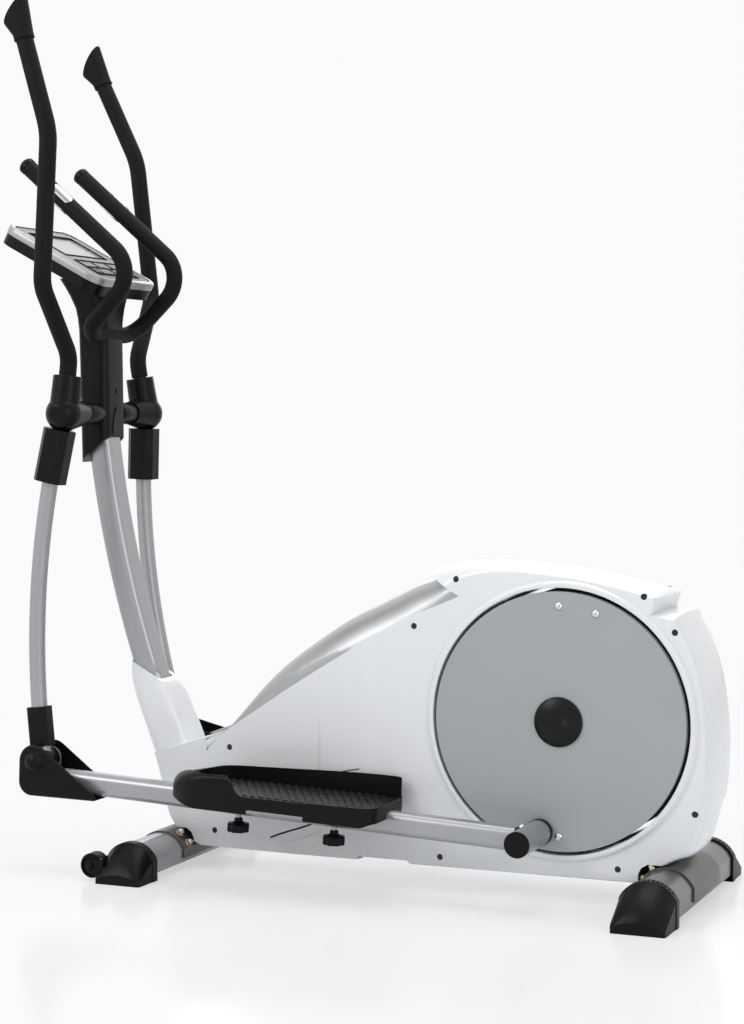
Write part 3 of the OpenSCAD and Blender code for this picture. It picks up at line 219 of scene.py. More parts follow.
def thicken(bm, x, y, z):
    # Draws the faces out by the given mm.
    grown = bmesh.ops.extrude_face_region(bm, geom=bm.faces[:])["geom"]
    bmesh.ops.translate(bm, vec=(x / 1000, y / 1000, z / 1000),
                        verts=[g for g in grown if isinstance(g, bmesh.types.BMVert)])


def plate(name, points, y0, y1):
    # A flat plate of the given side outline, in mm behind the crank axis and above the floor.
    bm = bmesh.new()
    bm.faces.new([bm.verts.new((crank_x + x / 1000, y0 / 1000, z / 1000)) for x, z in points])
    thicken(bm, 0, y1 - y0, 0)
    return new_piece(name, bm)


def peg(name, x, z, r, y0, y1, sides):
    # A round plug through the side, in the same measures.
    bm = bmesh.new()
    bmesh.ops.create_cone(bm, cap_ends=True, segments=sides, radius1=r / 1000, radius2=r / 1000, depth=(y1 - y0) / 1000,
                          matrix=Matrix.Translation((crank_x + x / 1000, (y0 + y1) / 2000, z / 1000))
                          @ Matrix.Rotation(math.radians(90), 4, "X"))
    return new_piece(name, bm)


def carve(piece, tools, how="DIFFERENCE"):
    # Cuts the tools out of the piece, or keeps what they share with it, and removes them.
    for tool in tools:
        cut = piece.modifiers.new("cut", "BOOLEAN")
        cut.operation = how
        cut.solver = "MANIFOLD"
        cut.object = tool
    bpy.context.view_layer.update()
    fresh = bpy.data.meshes.new_from_object(piece.evaluated_get(bpy.context.evaluated_depsgraph_get()))
    piece.modifiers.clear()
    piece.data = fresh
    for tool in tools:
        bpy.data.objects.remove(tool)


def side_at(x):
    # How far out the side lies: flat behind, then turning gently into the front's taper.
    before = taper_start + bend / 2 - x
    if before <= 0:
        return shell_y
    return shell_y - taper_slope * (before * before / (2 * bend) if before < bend else before - bend / 2)


def beyond_side(gap):
    # What lies outside the flat side and the front's tapered side.
    far = 300
    bm = bmesh.new()
    bm.faces.new([bm.verts.new((crank_x + x / 1000, y / 1000, -0.1)) for x, y in
                  [(-1000, side_at(-1000) - gap)] + [(x, side_at(x) - gap) for x in range(-510, -329, 12)]
                  + [(500, shell_y - gap), (500, far), (-1000, far)]])
    thicken(bm, 0, 0, 1000)
    return new_piece("beyond_side", bm)


def finish_of(name, colour, metal=0.0, rough=0.4, grain=0.8, depth=0.03, coat=0.0, drift=0.08, scuff=0.0, shine=0.5,
              vary=0.06):
    # A paint, moulding or metal: colour that drifts a little, fine grain in gloss and bump (sizes in mm), and faint
    # scuffs.
    mat = bpy.data.materials.new(name)
    mat.use_nodes = True
    nt = mat.node_tree
    skin = nt.nodes["Principled BSDF"]
    skin.inputs["Metallic"].default_value = metal
    skin.inputs["Specular IOR Level"].default_value = shine
    skin.inputs["Coat Weight"].default_value = coat
    skin.inputs["Coat Roughness"].default_value = 0.06
    where = nt.nodes.new("ShaderNodeTexCoord")
    fine = nt.nodes.new("ShaderNodeTexNoise")
    fine.inputs["Scale"].default_value = 1000 / grain
    fine.inputs["Detail"].default_value = 3
    nt.links.new(where.outputs["Object"], fine.inputs["Vector"])
    broad = nt.nodes.new("ShaderNodeTexNoise")
    broad.inputs["Scale"].default_value = 7
    broad.inputs["Detail"].default_value = 4
    nt.links.new(where.outputs["Object"], broad.inputs["Vector"])
    tone = nt.nodes.new("ShaderNodeValToRGB")
    tone.color_ramp.elements[0].position = 0.3
    tone.color_ramp.elements[1].position = 0.7
    tone.color_ramp.elements[0].color = (*[c * (1 - drift) for c in colour], 1)
    tone.color_ramp.elements[1].color = (*[min(c * (1 + drift), 0.95) for c in colour], 1)
    nt.links.new(broad.outputs["Fac"], tone.inputs["Fac"])
    nt.links.new(tone.outputs["Color"], skin.inputs["Base Color"])
    gloss = nt.nodes.new("ShaderNodeMapRange")
    gloss.inputs["To Min"].default_value = max(rough - vary, 0.03)
    gloss.inputs["To Max"].default_value = rough + vary
    nt.links.new(fine.outputs["Fac"], gloss.inputs["Value"])
    worn = gloss
    if scuff:
        rub = nt.nodes.new("ShaderNodeTexNoise")
        rub.inputs["Scale"].default_value = 38
        rub.inputs["Detail"].default_value = 8
        rub.inputs["Roughness"].default_value = 0.7
        nt.links.new(where.outputs["Object"], rub.inputs["Vector"])
        patch = nt.nodes.new("ShaderNodeMapRange")
        patch.inputs["From Min"].default_value = 0.55
        patch.inputs["From Max"].default_value = 0.75
        patch.inputs["To Max"].default_value = scuff
        nt.links.new(rub.outputs["Fac"], patch.inputs["Value"])
        worn = nt.nodes.new("ShaderNodeMath")
        worn.operation = "ADD"
        nt.links.new(gloss.outputs["Result"], worn.inputs[0])
        nt.links.new(patch.outputs["Result"], worn.inputs[1])
    nt.links.new(worn.outputs[0], skin.inputs["Roughness"])
    if depth:
        bump = nt.nodes.new("ShaderNodeBump")
        bump.inputs["Strength"].default_value = 0.6
        bump.inputs["Distance"].default_value = depth / 1000
        nt.links.new(fine.outputs["Fac"], bump.inputs["Height"])
        nt.links.new(bump.outputs["Normal"], skin.inputs["Normal"])
    return mat


def dress(piece, mat, body, *nodes, angle=30):
    # Smooth shading that keeps the real edges, the finish, the body it rides on and the solids it stands for.
    piece.data.materials.clear()
    piece.data.materials.append(mat)
    for face in piece.data.polygons:
        face.use_smooth = True
    piece.data.set_sharp_from_angle(angle=math.radians(angle))
    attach(piece, body)
    if nodes:
        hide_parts(*nodes)


white_shell = finish_of("white_shell", (0.83, 0.84, 0.855), rough=0.24, grain=0.7, depth=0.002, coat=0.3, drift=0.003,
                        vary=0.02)
# Flat black for painted shade: it fills narrow gaps where only shade would show.
gap_shade_black = finish_of("gap_shade_black", (0.006, 0.006, 0.006), rough=0.6, depth=0.02, shine=0.2)
wall, opening, well_r = 3.2, 247, 6.0
screw_spots = [(-289, 501), (-205, 592), (157, 571), (215, 508), (254, 181), (111, 70), (-689, 244), (-724, 76),
               (-236, 66)]
seam_line = [(q.x, q.y) for q in curve_through([(-728, 256), (-652, 306), (-558, 367), (-485, 412), (-319, 510),
                                                (-260, 534), (-199, 560)], 8)]
right_half = half_loft("right_shell_skin", 0)
hollow = half_loft("hollow", wall)
carve(hollow, [beyond_side(wall)])
cuts = [beyond_side(0), hollow,
        plate("spine_gap", seam_line + [(-289.6, 612.6), (-289.6, 900), (-742.6, 900), (-742.6, 231)], -5, 200),
        plate("mid_gap", [(-1200, -10), (600, -10), (600, 800), (-1200, 800)], -6, 0.2),
        peg("ring_seat", 0, crank_z * 1000, opening + 1, -5, 200, 160),
        plate("sole", [(-954, -5), (446, -5), (446, 62), (-954, 62)], -5, 46),
        plate("side_notch", [(-411, -5), (-411, 46), (-403, 54), (-303, 54), (-295, 46), (-295, -5)], -5, 200)]
for x, w, h in ((-825, 94, 70), (203, 98, 78)):
    half = w / 2 + 5
    cuts.append(plate("foot_arch", [(x - half, -10), (x - half, h - 14), (x - half + 6, h - 2), (x - half + 18, h + 5),
                                    (x + half - 18, h + 5), (x + half - 6, h - 2), (x + half, h - 14),
                                    (x + half, -10)], -5, 200))
for x, z in screw_spots:
    cuts.append(peg("screw_well", x, z, well_r, side_at(x) - 7, side_at(x) + 60, 28))
for line, wide in (([(-597, 73), (-575, 82), (-550, 91), (-528, 98.5), (-512, 104.5), (-501, 110)], 1.9),
                   ([(-451, 211.5), (-425, 217.5), (-401, 222.5)], 1.2)):
    path = [(q.x, q.y) for q in curve_through([(x, z, 0) for x, z in line], 5)]
    cuts.append(plate("slit", [(x, z - wide) for x, z in path] + [(x, z + wide) for x, z in reversed(path)], 70, 200))
bm = bmesh.new()
bmesh.ops.create_uvsphere(bm, u_segments=64, v_segments=32, radius=1,
                          matrix=Matrix.Translation((crank_x - 0.541, (side_at(-541) + 0.8) / 1000, 0.0835))
                          @ Matrix.Rotation(math.atan(taper_slope), 4, "Z") @ Matrix.Rotation(math.radians(-17), 4, "Y")
                          @ Matrix.Diagonal((0.068, 0.0030, 0.0105, 1)))
cuts.append(new_piece("scoop", bm))
carve(right_half, cuts)

bm = bmesh.new()
profile = [(opening, 60), (opening, 98.6), (247.6, 99.6), (248.8, 100), (254, 100), (255.6, 99.4), (257, 98),
           (260, 92.8), (260.8, 91), (251, 91), (251, 60)]
rim = [bm.verts.new((crank_x + r / 1000, y / 1000, crank_z)) for r, y in profile]
rim_edges = [bm.edges.new((rim[i], rim[(i + 1) % len(rim)])) for i in range(len(rim))]
bmesh.ops.spin(bm, geom=rim + rim_edges, cent=(crank_x, 0, crank_z), axis=(0, 1, 0), angle=math.tau, steps=160,
               use_merge=True)
bmesh.ops.remove_doubles(bm, verts=bm.verts, dist=1e-6)
bmesh.ops.recalc_face_normals(bm, faces=bm.faces)
bm.from_mesh(right_half.data)
bm.to_mesh(right_half.data)
left_half = bpy.data.objects.new("left_shell_skin", right_half.data.copy())
bpy.context.scene.collection.objects.link(left_half)
bmesh.ops.scale(bm, vec=(1, -1, 1), verts=bm.verts)
bmesh.ops.reverse_faces(bm, faces=bm.faces)
bm.to_mesh(left_half.data)
bm.free()
dress(right_half, white_shell, "frame", "right_shell", angle=28)
dress(left_half, white_shell, "frame", "left_shell", angle=28)


# ---------------------------------------------------------------- spine cover
# The silver-painted cover that bridges the two white halves along their sloping front, rounded over the middle and
# tucked under the front edge of the white top.
silver_cover = finish_of("silver_cover", (0.42, 0.425, 0.43), metal=0.55, rough=0.34, grain=0.5, depth=0.002, coat=0.25,
                         drift=0.02, vary=0.03)
sunk, thick, tuck = 0.5, 3.5, 13
half = half_loft("spine_half", sunk, tuck)
under = half_loft("spine_hollow", sunk + thick, tuck)
carve(under, [beyond_side(sunk + thick)])
carve(half, [beyond_side(sunk), under])
carve(half, [plate("spine_keep", seam_line + [(-188, 560), (-262, 640), (-262, 900), (-741, 900), (-741, 237)],
                   0, 200)], "INTERSECT")
bm = bmesh.new()
bm.from_mesh(half.data)
bmesh.ops.delete(bm, geom=[f for f in bm.faces if all(abs(v.co.y) < 3e-6 for v in f.verts)], context="FACES_ONLY")
bmesh.ops.mirror(bm, geom=bm.verts[:] + bm.edges[:] + bm.faces[:], axis="Y", merge_dist=2e-5)
bpy.data.objects.remove(half)
dress(new_piece("spine_skin", bm), silver_cover, "frame", "spine_cover", angle=28)


# ---------------------------------------------------------------- crank
# Two grey pressed-steel discs hide the crank arms and turn with the axle. Four chrome dome screws hold each disc, and
# a domed black cap with a shallow crescent covers the axle's nut.
def wear(mat, *nodes):
    # The solid keeps its shape and takes the finish.
    for name in nodes:
        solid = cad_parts[name]
        solid.data.materials.clear()
        solid.data.materials.append(mat)


def turned(name, profile, place, steps=64):
    # A solid turned round the Y axis from (radius, y) points in mm, then put in its place.
    bm = bmesh.new()
    line = [bm.verts.new((r / 1000, y / 1000, 0)) for r, y in profile]
    edges = [bm.edges.new(pair) for pair in zip(line, line[1:])]
    bmesh.ops.spin(bm, geom=line + edges, cent=(0, 0, 0), axis=(0, 1, 0), angle=math.tau, steps=steps, use_merge=True)
    bmesh.ops.remove_doubles(bm, verts=bm.verts, dist=2e-6)
    bmesh.ops.transform(bm, matrix=place, verts=bm.verts)
    return new_piece(name, bm)


def join(name, pieces):
    # Makes one object of several.
    bm = bmesh.new()
    for piece in pieces:
        bm.from_mesh(piece.data)
        bpy.data.objects.remove(piece)
    return new_piece(name, bm)


disc_grey = finish_of("disc_grey", (0.385, 0.40, 0.405), metal=0.1, rough=0.42, grain=0.6, depth=0.003, coat=0.1,
                      drift=0.02, vary=0.03)
wear(disc_grey, "crank_discs")
plated_steel = finish_of("plated_steel", (0.56, 0.57, 0.58), metal=1.0, rough=0.3, grain=1.0, depth=0.005, drift=0.08)
polished = finish_of("polished", (0.62, 0.63, 0.64), metal=1.0, rough=0.22, grain=2, depth=0.001, drift=0.03, vary=0.02)
wear(plated_steel, "crank_axle", "crank_bearings")
arm_paint = finish_of("arm_paint", (0.022, 0.022, 0.023), rough=0.4, grain=0.9, depth=0.03, drift=0.15, scuff=0.1)
wear(arm_paint, "crank_arms")
hub_black = finish_of("hub_black", (0.005, 0.005, 0.0055), rough=0.3, grain=0.5, depth=0.004, drift=0.1, shine=0.2)
screw_circle = 0.213
for side in (-1, 1):
    spun = math.radians(9.4 if side < 0 else 189.4)
    on_disc = (Matrix.Translation((crank_x, 0, crank_z)) @ Matrix.Rotation(spun, 4, "Y")
               @ Matrix.Diagonal((1, side, 1, 1)))
    heads = []
    for deg in (-9.6, 9.6, 170.4, 189.6):
        a = math.radians(deg)
        at = on_disc @ Matrix.Translation((-screw_circle * math.sin(a), 0, -screw_circle * math.cos(a)))
        heads.append(turned("screw", [(0, 102.2), (7.2, 102.2), (7.4, 102.9), (6.6, 104.2), (4.6, 105.5), (2.9, 106.1),
                                      (2.5, 105.0), (0, 104.9)], at, 28))
    dress(join("disc_screws_left" if side < 0 else "disc_screws_right", heads), polished, "crank")
    cap = turned("cap", [(0, 104), (40, 104), (40, 102.3), (46, 102.3), (46.3, 104.4), (45.4, 106.4), (42.5, 108.4),
                         (36, 111.4), (27, 114), (16, 115.9), (6, 116.6), (0, 116.7)], on_disc, 96)
    bm = bmesh.new()
    bmesh.ops.create_uvsphere(bm, u_segments=64, v_segments=32, radius=0.060,
                              matrix=on_disc @ Matrix.Translation((0.040, 0.1655, 0.022)))
    carve(cap, [new_piece("crescent", bm)])
    dress(cap, hub_black, "crank", angle=24)
    cap.name = "hub_cap_left" if side < 0 else "hub_cap_right"
    # One node holds both caps, so it is named once.
    if side > 0:
        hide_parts("hub_caps")


# ---------------------------------------------------------------- drive
# The crank drives a cast-iron flywheel through a ribbed belt with an idler; a servo turns the magnet arm round it. All
# of it sits on the painted beam inside the closed housing.
inner_black = finish_of("inner_black", (0.02, 0.02, 0.021), rough=0.5, grain=0.7, depth=0.03, drift=0.12)
wear(inner_black, "drive_pulley", "idler_pulley", "brake_servo", "drive_belt")
cast_iron = finish_of("cast_iron", (0.2, 0.2, 0.21), metal=0.9, rough=0.45, grain=1.0, depth=0.04, drift=0.15)
wear(cast_iron, "flywheel")
wear(plated_steel, "flywheel_axle")
wear(arm_paint, "main_frame", "brake_arm")
screw_black = finish_of("screw_black", (0.012, 0.012, 0.013), rough=0.35, depth=0.01, shine=0.4)
wear(screw_black, "shell_screws")


# ---------------------------------------------------------------- stabilisers
# Arched steel tubes across both ends, pale silver in front and dark slate behind. Each is bolted under the frame beam
# through a pressed saddle plate with acorn nuts.
silver_tube = finish_of("silver_tube", (0.37, 0.375, 0.385), metal=0.6, rough=0.34, grain=0.5, depth=0.003, coat=0.15,
                        drift=0.03, vary=0.03)
slate_tube = finish_of("slate_tube", (0.115, 0.12, 0.12), metal=0.6, rough=0.3, grain=0.5, depth=0.003, coat=0.3,
                       drift=0.05)
saddle_grey = finish_of("saddle_grey", (0.12, 0.118, 0.108), metal=0.7, rough=0.36, grain=0.8, depth=0.01, drift=0.1)
nut_chrome = finish_of("nut_chrome", (0.60, 0.55, 0.45), metal=1.0, rough=0.18, grain=1.5, depth=0.004, drift=0.05)
wear(silver_tube, "front_stabilizer")
wear(slate_tube, "rear_stabilizer")
wear(saddle_grey, "saddle_plates")
wear(nut_chrome, "frame_bolts")


# ---------------------------------------------------------------- end caps
# Black moulded caps over the tubes' ends. A ribbed band grips the tube, and a wedge with a creased back falls to a low
# outer edge; the front pair carries the transport rollers between two cheeks.
moulded_black = finish_of("moulded_black", (0.0045, 0.0045, 0.005), rough=0.34, grain=0.6, depth=0.008, drift=0.15,
                          shine=0.13)
roller_black = finish_of("roller_black", (0.006, 0.006, 0.0065), rough=0.5, grain=0.9, depth=0.03, drift=0.15,
                         shine=0.15)
wear(roller_black, "left_roller", "right_roller")


def arch_points(w, h, low, cuts=20):
    # The tube's outline: a broad round back over upright sides and a flat foot. A low one is flatter.
    r = w * 0.55
    side = math.acos(w / 2 / r)
    drop = min(r * (1 - math.sin(side)), 0.62 * h)
    turns = [side + (math.pi - 2 * side) * k / cuts for k in range(cuts + 1)]
    rise = [(r * math.cos(t), h - drop * (1 - math.sin(t)) / (1 - math.sin(side))) for t in turns]
    return [(w / 2, low)] + rise + [(-w / 2, low)]


def hulled(name, circles, y0, y1, place):
    # The hull of discs (x, z, radius, segments) between two sides, in mm.
    bm = bmesh.new()
    for x, z, r, cuts in circles:
        for y in (y0, y1):
            bmesh.ops.create_circle(bm, cap_ends=False, segments=cuts, radius=r / 1000,
                                    matrix=Matrix.Translation((x / 1000, y / 1000, z / 1000))
                                    @ Matrix.Rotation(math.radians(90), 4, "X"))
    hull = bmesh.ops.convex_hull(bm, input=bm.verts[:])
    bmesh.ops.delete(bm, geom=[g for g in hull["geom_interior"] + hull["geom_unused"]
                               if isinstance(g, bmesh.types.BMVert)], context="VERTS")
    bmesh.ops.dissolve_limit(bm, angle_limit=0.001, verts=bm.verts[:], edges=bm.edges[:])
    bmesh.ops.transform(bm, matrix=place, verts=bm.verts)
    return new_piece(name, bm)


def cap_skin(name, x0, w, h, half, length, place):
    # The cap's form in rings from the band's inner lip to the tip: how far out, and how much wider and how high.
    bm = bmesh.new()
    band = length - 20
    lip, step = half - length, half - band
    rings = []
    for y, wider, high in ((lip, 6.5, h + 3), (lip + 1.5, 8, h + 4), (step - 1.5, 8, h + 4), (step, 6, h + 3),
                           (step + 0.5, 5, h + 2), (half - band * 0.62, 4, h * 0.84), (half - 9, 3, h * 0.50),
                           (half - 2.5, 1, h * 0.36), (half, -3, h * 0.29)):
        points = arch_points(w + wider, high, 0)
        if y > step:
            crest = points[len(points) // 2][1]
            crease = 0.16 * (y - step) / band
            points = [(x, min(z, crest - abs(x) * crease) if z else 0) for x, z in points]
        rings.append([bm.verts.new(((x0 + x) / 1000, y / 1000, z / 1000)) for x, z in points])
    loops = [[bm.edges.new((ring[i], ring[(i + 1) % len(ring)])) for i in range(len(ring))] for ring in rings]
    for inner, outer in zip(loops, loops[1:]):
        bmesh.ops.bridge_loops(bm, edges=inner + outer)
    bmesh.ops.contextual_create(bm, geom=loops[0])
    bmesh.ops.contextual_create(bm, geom=loops[-1])
    bmesh.ops.transform(bm, matrix=place, verts=bm.verts)
    return new_piece(name, bm)


def tube_room(x0, w, h, half, length, place):
    # The tube's end inside the cap, with a little play.
    bm = bmesh.new()
    bm.faces.new([bm.verts.new(((x0 + x) / 1000, (half - length - 5) / 1000, z / 1000))
                  for x, z in arch_points(w + 0.6, h + 0.3, 1.7)])
    thicken(bm, 0, 21.3, 0)
    bmesh.ops.transform(bm, matrix=place, verts=bm.verts)
    return new_piece("tube_room", bm)


def box(name, low, high, place, round_by=0.0):
    # A block between two corners, in mm, with its edges rounded if asked.
    bm = bmesh.new()
    size = Vector(high) - Vector(low)
    bmesh.ops.create_cube(bm, size=1, matrix=Matrix.Translation((Vector(low) + Vector(high)) / 2000)
                          @ Matrix.Diagonal((*(size / 1000), 1)))
    if round_by:
        bmesh.ops.bevel(bm, geom=bm.edges[:], offset=round_by / 1000, segments=3, profile=0.5, material=-1,
                        affect="EDGES")
    bmesh.ops.transform(bm, matrix=place, verts=bm.verts)
    return new_piece(name, bm)


for which, x0, w, h, half, length in (("front", -371, 94, 70, 279, 72), ("rear", 657, 98, 78, 290, 87)):
    caps = []
    for side in (-1, 1):
        over = Matrix.Diagonal((1, side, 1, 1))
        cap = cap_skin("cap", x0, w, h, half, length, over)
        tools = [tube_room(x0, w, h, half, length, over)]
        back = w * 0.55
        middle = over @ Matrix.Translation((x0 / 1000, (half - length + 11) / 1000, (h - back) / 1000))
        for deg in range(-48, 49, 8):
            turned_to = middle @ Matrix.Rotation(math.radians(deg), 4, "Y")
            tools.append(box("rib", (-1.3, -6.5, back + 2.4), (1.3, 6.5, back + 7), turned_to))
        carve(cap, tools)
        caps.append(cap)
        if which == "front":
            axle_x, axle_z = x0 - 65, 30
            for y0, y1 in ((228.5, 233), (261.5, 266)):
                discs = [(axle_x, axle_z, 13, 40), (x0 - 44, 38, 8, 20), (x0 - 44, 12, 5, 20)]
                caps.append(hulled("cheek", discs, y0, y1, over))
            caps.append(turned("pin_cap", [(0, 264), (6.8, 264), (6.8, 268), (6.2, 269.8), (4.6, 271), (0, 271.6)],
                               over @ Matrix.Translation((axle_x / 1000, 0, axle_z / 1000)), 32))
    skin = join(which + "_cap_skins", caps)
    dress(skin, moulded_black, "frame", which + "_end_caps", angle=24)


# ---------------------------------------------------------------- mast
# A curved rounded-rectangle steel tube in silver paint with two rolled grooves down its rear face. The cross tube near
# its top carries the shaft that both swing arms turn on.
wear(silver_tube, "mast")
wear(plated_steel, "pivot_shaft")


def pushed(bm, face, foot):
    # Draws one face out on its own. The old one stays only as the form's foot.
    grown = bmesh.ops.extrude_face_region(bm, geom=[face])["geom"]
    if not foot and face.is_valid:
        bmesh.ops.delete(bm, geom=[face], context="FACES_ONLY")
    return (next(g for g in grown if isinstance(g, bmesh.types.BMFace)),
            [g for g in grown if isinstance(g, bmesh.types.BMVert)])


def mast_run(name, play, z0, z1, steps=14):
    # A length of the mast's own curve between two heights, with the given play all round, in mm.
    start, end = (math.asin((z - mast_z * 1000) / mast_r / 1000) for z in (z0, z1))
    bm = bmesh.new()
    corners = [bm.verts.new((x * (25 + play) / 1000, y * (30 + play) / 1000, 0)) for x, y in
               ((-1, -1), (1, -1), (1, 1), (-1, 1))]
    bm.faces.new(corners)
    bmesh.ops.bevel(bm, geom=corners, offset=0.013, segments=8, profile=0.5, material=-1, affect="VERTICES")
    centre = Vector((mast_x + mast_r, 0, mast_z))
    bmesh.ops.transform(bm, verts=bm.verts, matrix=Matrix.Translation(centre) @ Matrix.Rotation(start, 4, "Y")
                        @ Matrix.Translation((-mast_r, 0, 0)))
    top = bm.faces[:][0]
    for k in range(steps):
        top, fresh = pushed(bm, top, k == 0)
        bmesh.ops.rotate(bm, verts=fresh, cent=centre, matrix=Matrix.Rotation((end - start) / steps, 3, "Y"))
    return new_piece(name, bm)


def stacked(name, sections, corner, cuts=8):
    # A solid through flat rounded rectangles: height, front x, rear x and half width, in mm.
    bm = bmesh.new()
    loops = []
    for z, front, back, half in sections:
        at = [bm.verts.new((x / 1000, y / 1000, z / 1000)) for x, y in
              ((front, -half), (back, -half), (back, half), (front, half))]
        bm.faces.new(at)
        bmesh.ops.bevel(bm, geom=at, offset=corner / 1000, segments=cuts, profile=0.5, material=-1, affect="VERTICES")
        face = next(f for f in bm.faces if all(abs(v.co.z - z / 1000) < 1e-7 for v in f.verts))
        loops.append(list(face.edges))
        bmesh.ops.delete(bm, geom=[face], context="FACES_ONLY")
    for a, b in zip(loops, loops[1:]):
        bmesh.ops.bridge_loops(bm, edges=a + b)
    for ends in (loops[0], loops[-1]):
        bmesh.ops.contextual_create(bm, geom=ends)
    return new_piece(name, bm)


def trim(piece, at, facing):
    # Cuts off what lies beyond a plane and closes the cut.
    bm = bmesh.new()
    bm.from_mesh(piece.data)
    cut = bmesh.ops.bisect_plane(bm, geom=bm.verts[:] + bm.edges[:] + bm.faces[:], dist=1e-7, plane_co=at,
                                 plane_no=facing, clear_outer=True)["geom_cut"]
    bmesh.ops.contextual_create(bm, geom=[g for g in cut if isinstance(g, bmesh.types.BMEdge)])
    bmesh.ops.recalc_face_normals(bm, faces=bm.faces)
    bm.to_mesh(piece.data)
    bm.free()


# ---------------------------------------------------------------- mast boot
# A white moulded boot over the foot of the mast. It widens towards the housing and meets it in a slanted seam; its
# sloping top closes round the mast. A black band just inside the seam's gap is painted shade.
boot_rows = [(205, -410.5, -322, 50), (225, -417.5, -331, 49.5), (245, -425.5, -338, 49), (273, -436.5, -349, 48),
             (305, -450.5, -364, 46.5), (337, -462.5, -377, 44.5), (352, -467.5, -390, 43), (366, -471.5, -399, 42),
             (385, -473.5, -402, 40.5), (415, -473.5, -402, 39.5)]
down = Vector((math.sin(math.radians(19.5)), 0, -math.cos(math.radians(19.5))))
seam_at = Vector((crank_x - 0.857, 0, 0.2205))
boot = stacked("mast_boot_skin", boot_rows, 20)
trim(boot, seam_at - down * 0.0012, down)
trim(boot, (crank_x - 0.926, 0, 0.403), (math.sin(math.radians(29)), 0, math.cos(math.radians(29))))
carve(boot, [mast_run("mast_room", 1.2, 190, 430)])
dress(boot, white_shell, "frame", "mast_boot", angle=32)
# Painted shade: a black band set just inside the seam gap stands for the shade between boot and housing.
seam_shade_band = stacked("boot_seam_shade", [(z, front + 0.6, back - 0.6, half - 0.6) for z, front, back, half in boot_rows], 20)
trim(seam_shade_band, seam_at + down * 0.0006, down)
trim(seam_shade_band, seam_at - down * 0.0014, -down)
carve(seam_shade_band, [mast_run("mast_room", 1.2, 190, 430)])
dress(seam_shade_band, gap_shade_black, "frame", angle=32)


# ---------------------------------------------------------------- mast cover
# A black two-part moulding round the top of the mast: straight sides, a flare under the console, a lower edge that
# dips to a point in front, a seam down each side and a slim insert at the bottom of its rear face.
cover_black = finish_of("cover_black", (0.0045, 0.0045, 0.005), rough=0.32, grain=0.5, depth=0.004, drift=0.1,
                        shine=0.14)
cover_rows = [(z, pivot_x * 1000 + front, pivot_x * 1000 + back, half) for z, front, back, half in (
    (780, -38, 25, 41.5), (900, -40, 24, 42), (1000, -42, 23, 42), (1070, -44, 22, 42), (1092, -45.5, 22.5, 44.5),
    (1112, -48, 24, 48), (1135, -57, 27.5, 52.5), (1155, -67, 31, 57), (1172, -77, 34, 61))]
cover = stacked("mast_cover_skin", cover_rows, 16)
trim(cover, (pivot_x - 0.040, 0, 0.800), (math.sin(math.radians(40)), 0, -math.cos(math.radians(40))))
carve(cover, [box("seam", (pivot_x * 1000 - 3, -90, 700), (pivot_x * 1000 - 2.4, 90, 1300), Matrix()),
              box("slot", (pivot_x * 1000 + 21, -2.6, 939), (pivot_x * 1000 + 30, 2.6, 951), Matrix(), 1.2)])
parts = [cover]
for side in (-1, 1):
    parts.append(turned("sleeve", [(19.5, 40), (22, 40), (22.4, 41), (22.4, 93), (21.6, 94.6), (19.5, 94.6)],
                        Matrix.Translation((pivot_x, 0, pivot_z)) @ Matrix.Diagonal((1, side, 1, 1)), 56))
dress(join("mast_cover_skin", parts), cover_black, "frame", "mast_cover", angle=28)
bm = bmesh.new()
foot, sweep = 0.0165, 0.105
arc = [Vector((pivot_x + 0.0243, foot - sweep * (1 - math.cos(t)), 0.857 + sweep * math.sin(t)))
       for t in (math.acos(1 - foot / sweep) * k / 10 for k in range(11))]
bm.faces.new([bm.verts.new(p) for p in arc] + [bm.verts.new((p.x, -p.y, p.z)) for p in reversed(arc[:-1])])
thicken(bm, 1.8, 0, 0)
insert_grey = finish_of("insert_grey", (0.02, 0.02, 0.021), rough=0.5, grain=0.4, depth=0.02, shine=0.2)
dress(new_piece("mast_insert", bm), insert_grey, "frame")


# ---------------------------------------------------------------- handlebar
# A bent steel bar in black foam, clamped to the mast under the console. Its ends carry rounded caps, and each arm has
# two small oval pulse plates near the tip, one on the upper outer side and one underneath.
foam = finish_of("foam", (0.0055, 0.0055, 0.006), rough=0.62, grain=0.9, depth=0.05, drift=0.2, shine=0.14)
plate_steel = finish_of("plate_steel", (0.40, 0.39, 0.37), metal=1.0, rough=0.36, grain=2, depth=0, drift=0.05,
                        vary=0.02)
wear(foam, "handlebar")
wear(moulded_black, "handlebar_caps")
plates = []
for side in (-1, 1):
    tip, elbow = Vector((mast_x - 0.093, side * 0.107, 1.391)), Vector((mast_x + 0.151, side * 0.107, 1.181))
    along, across = (tip - elbow).normalized(), Vector((0, 1, 0))
    on_bar = (Matrix.Translation(tip) @ Matrix((along.cross(across), across, along)).transposed().to_4x4()
              @ Matrix.Translation((0, 0, -0.098)))
    for facing in (180 - 45 * side, 0):
        bm = bmesh.new()
        for r in (0.0184, 0.0167):
            bmesh.ops.create_cone(bm, cap_ends=False, segments=64, radius1=r, radius2=r, depth=0.11)
        for end in (-0.055, 0.055):
            bmesh.ops.bridge_loops(bm, edges=[e for e in bm.edges if all(abs(v.co.z - end) < 1e-6 for v in e.verts)])
        sensor = new_piece("sensor", bm)
        oval = hulled("oval", [(0, -17, 9.5, 48), (0, 17, 9.5, 48)], 6, 40, Matrix.Rotation(math.radians(-90), 4, "Z"))
        carve(sensor, [oval], "INTERSECT")
        sensor.data.transform(on_bar @ Matrix.Rotation(math.radians(facing), 4, "Z"))
        plates.append(sensor)
dress(join("pulse_plates", plates), plate_steel, "frame", "pulse_sensors", angle=40)


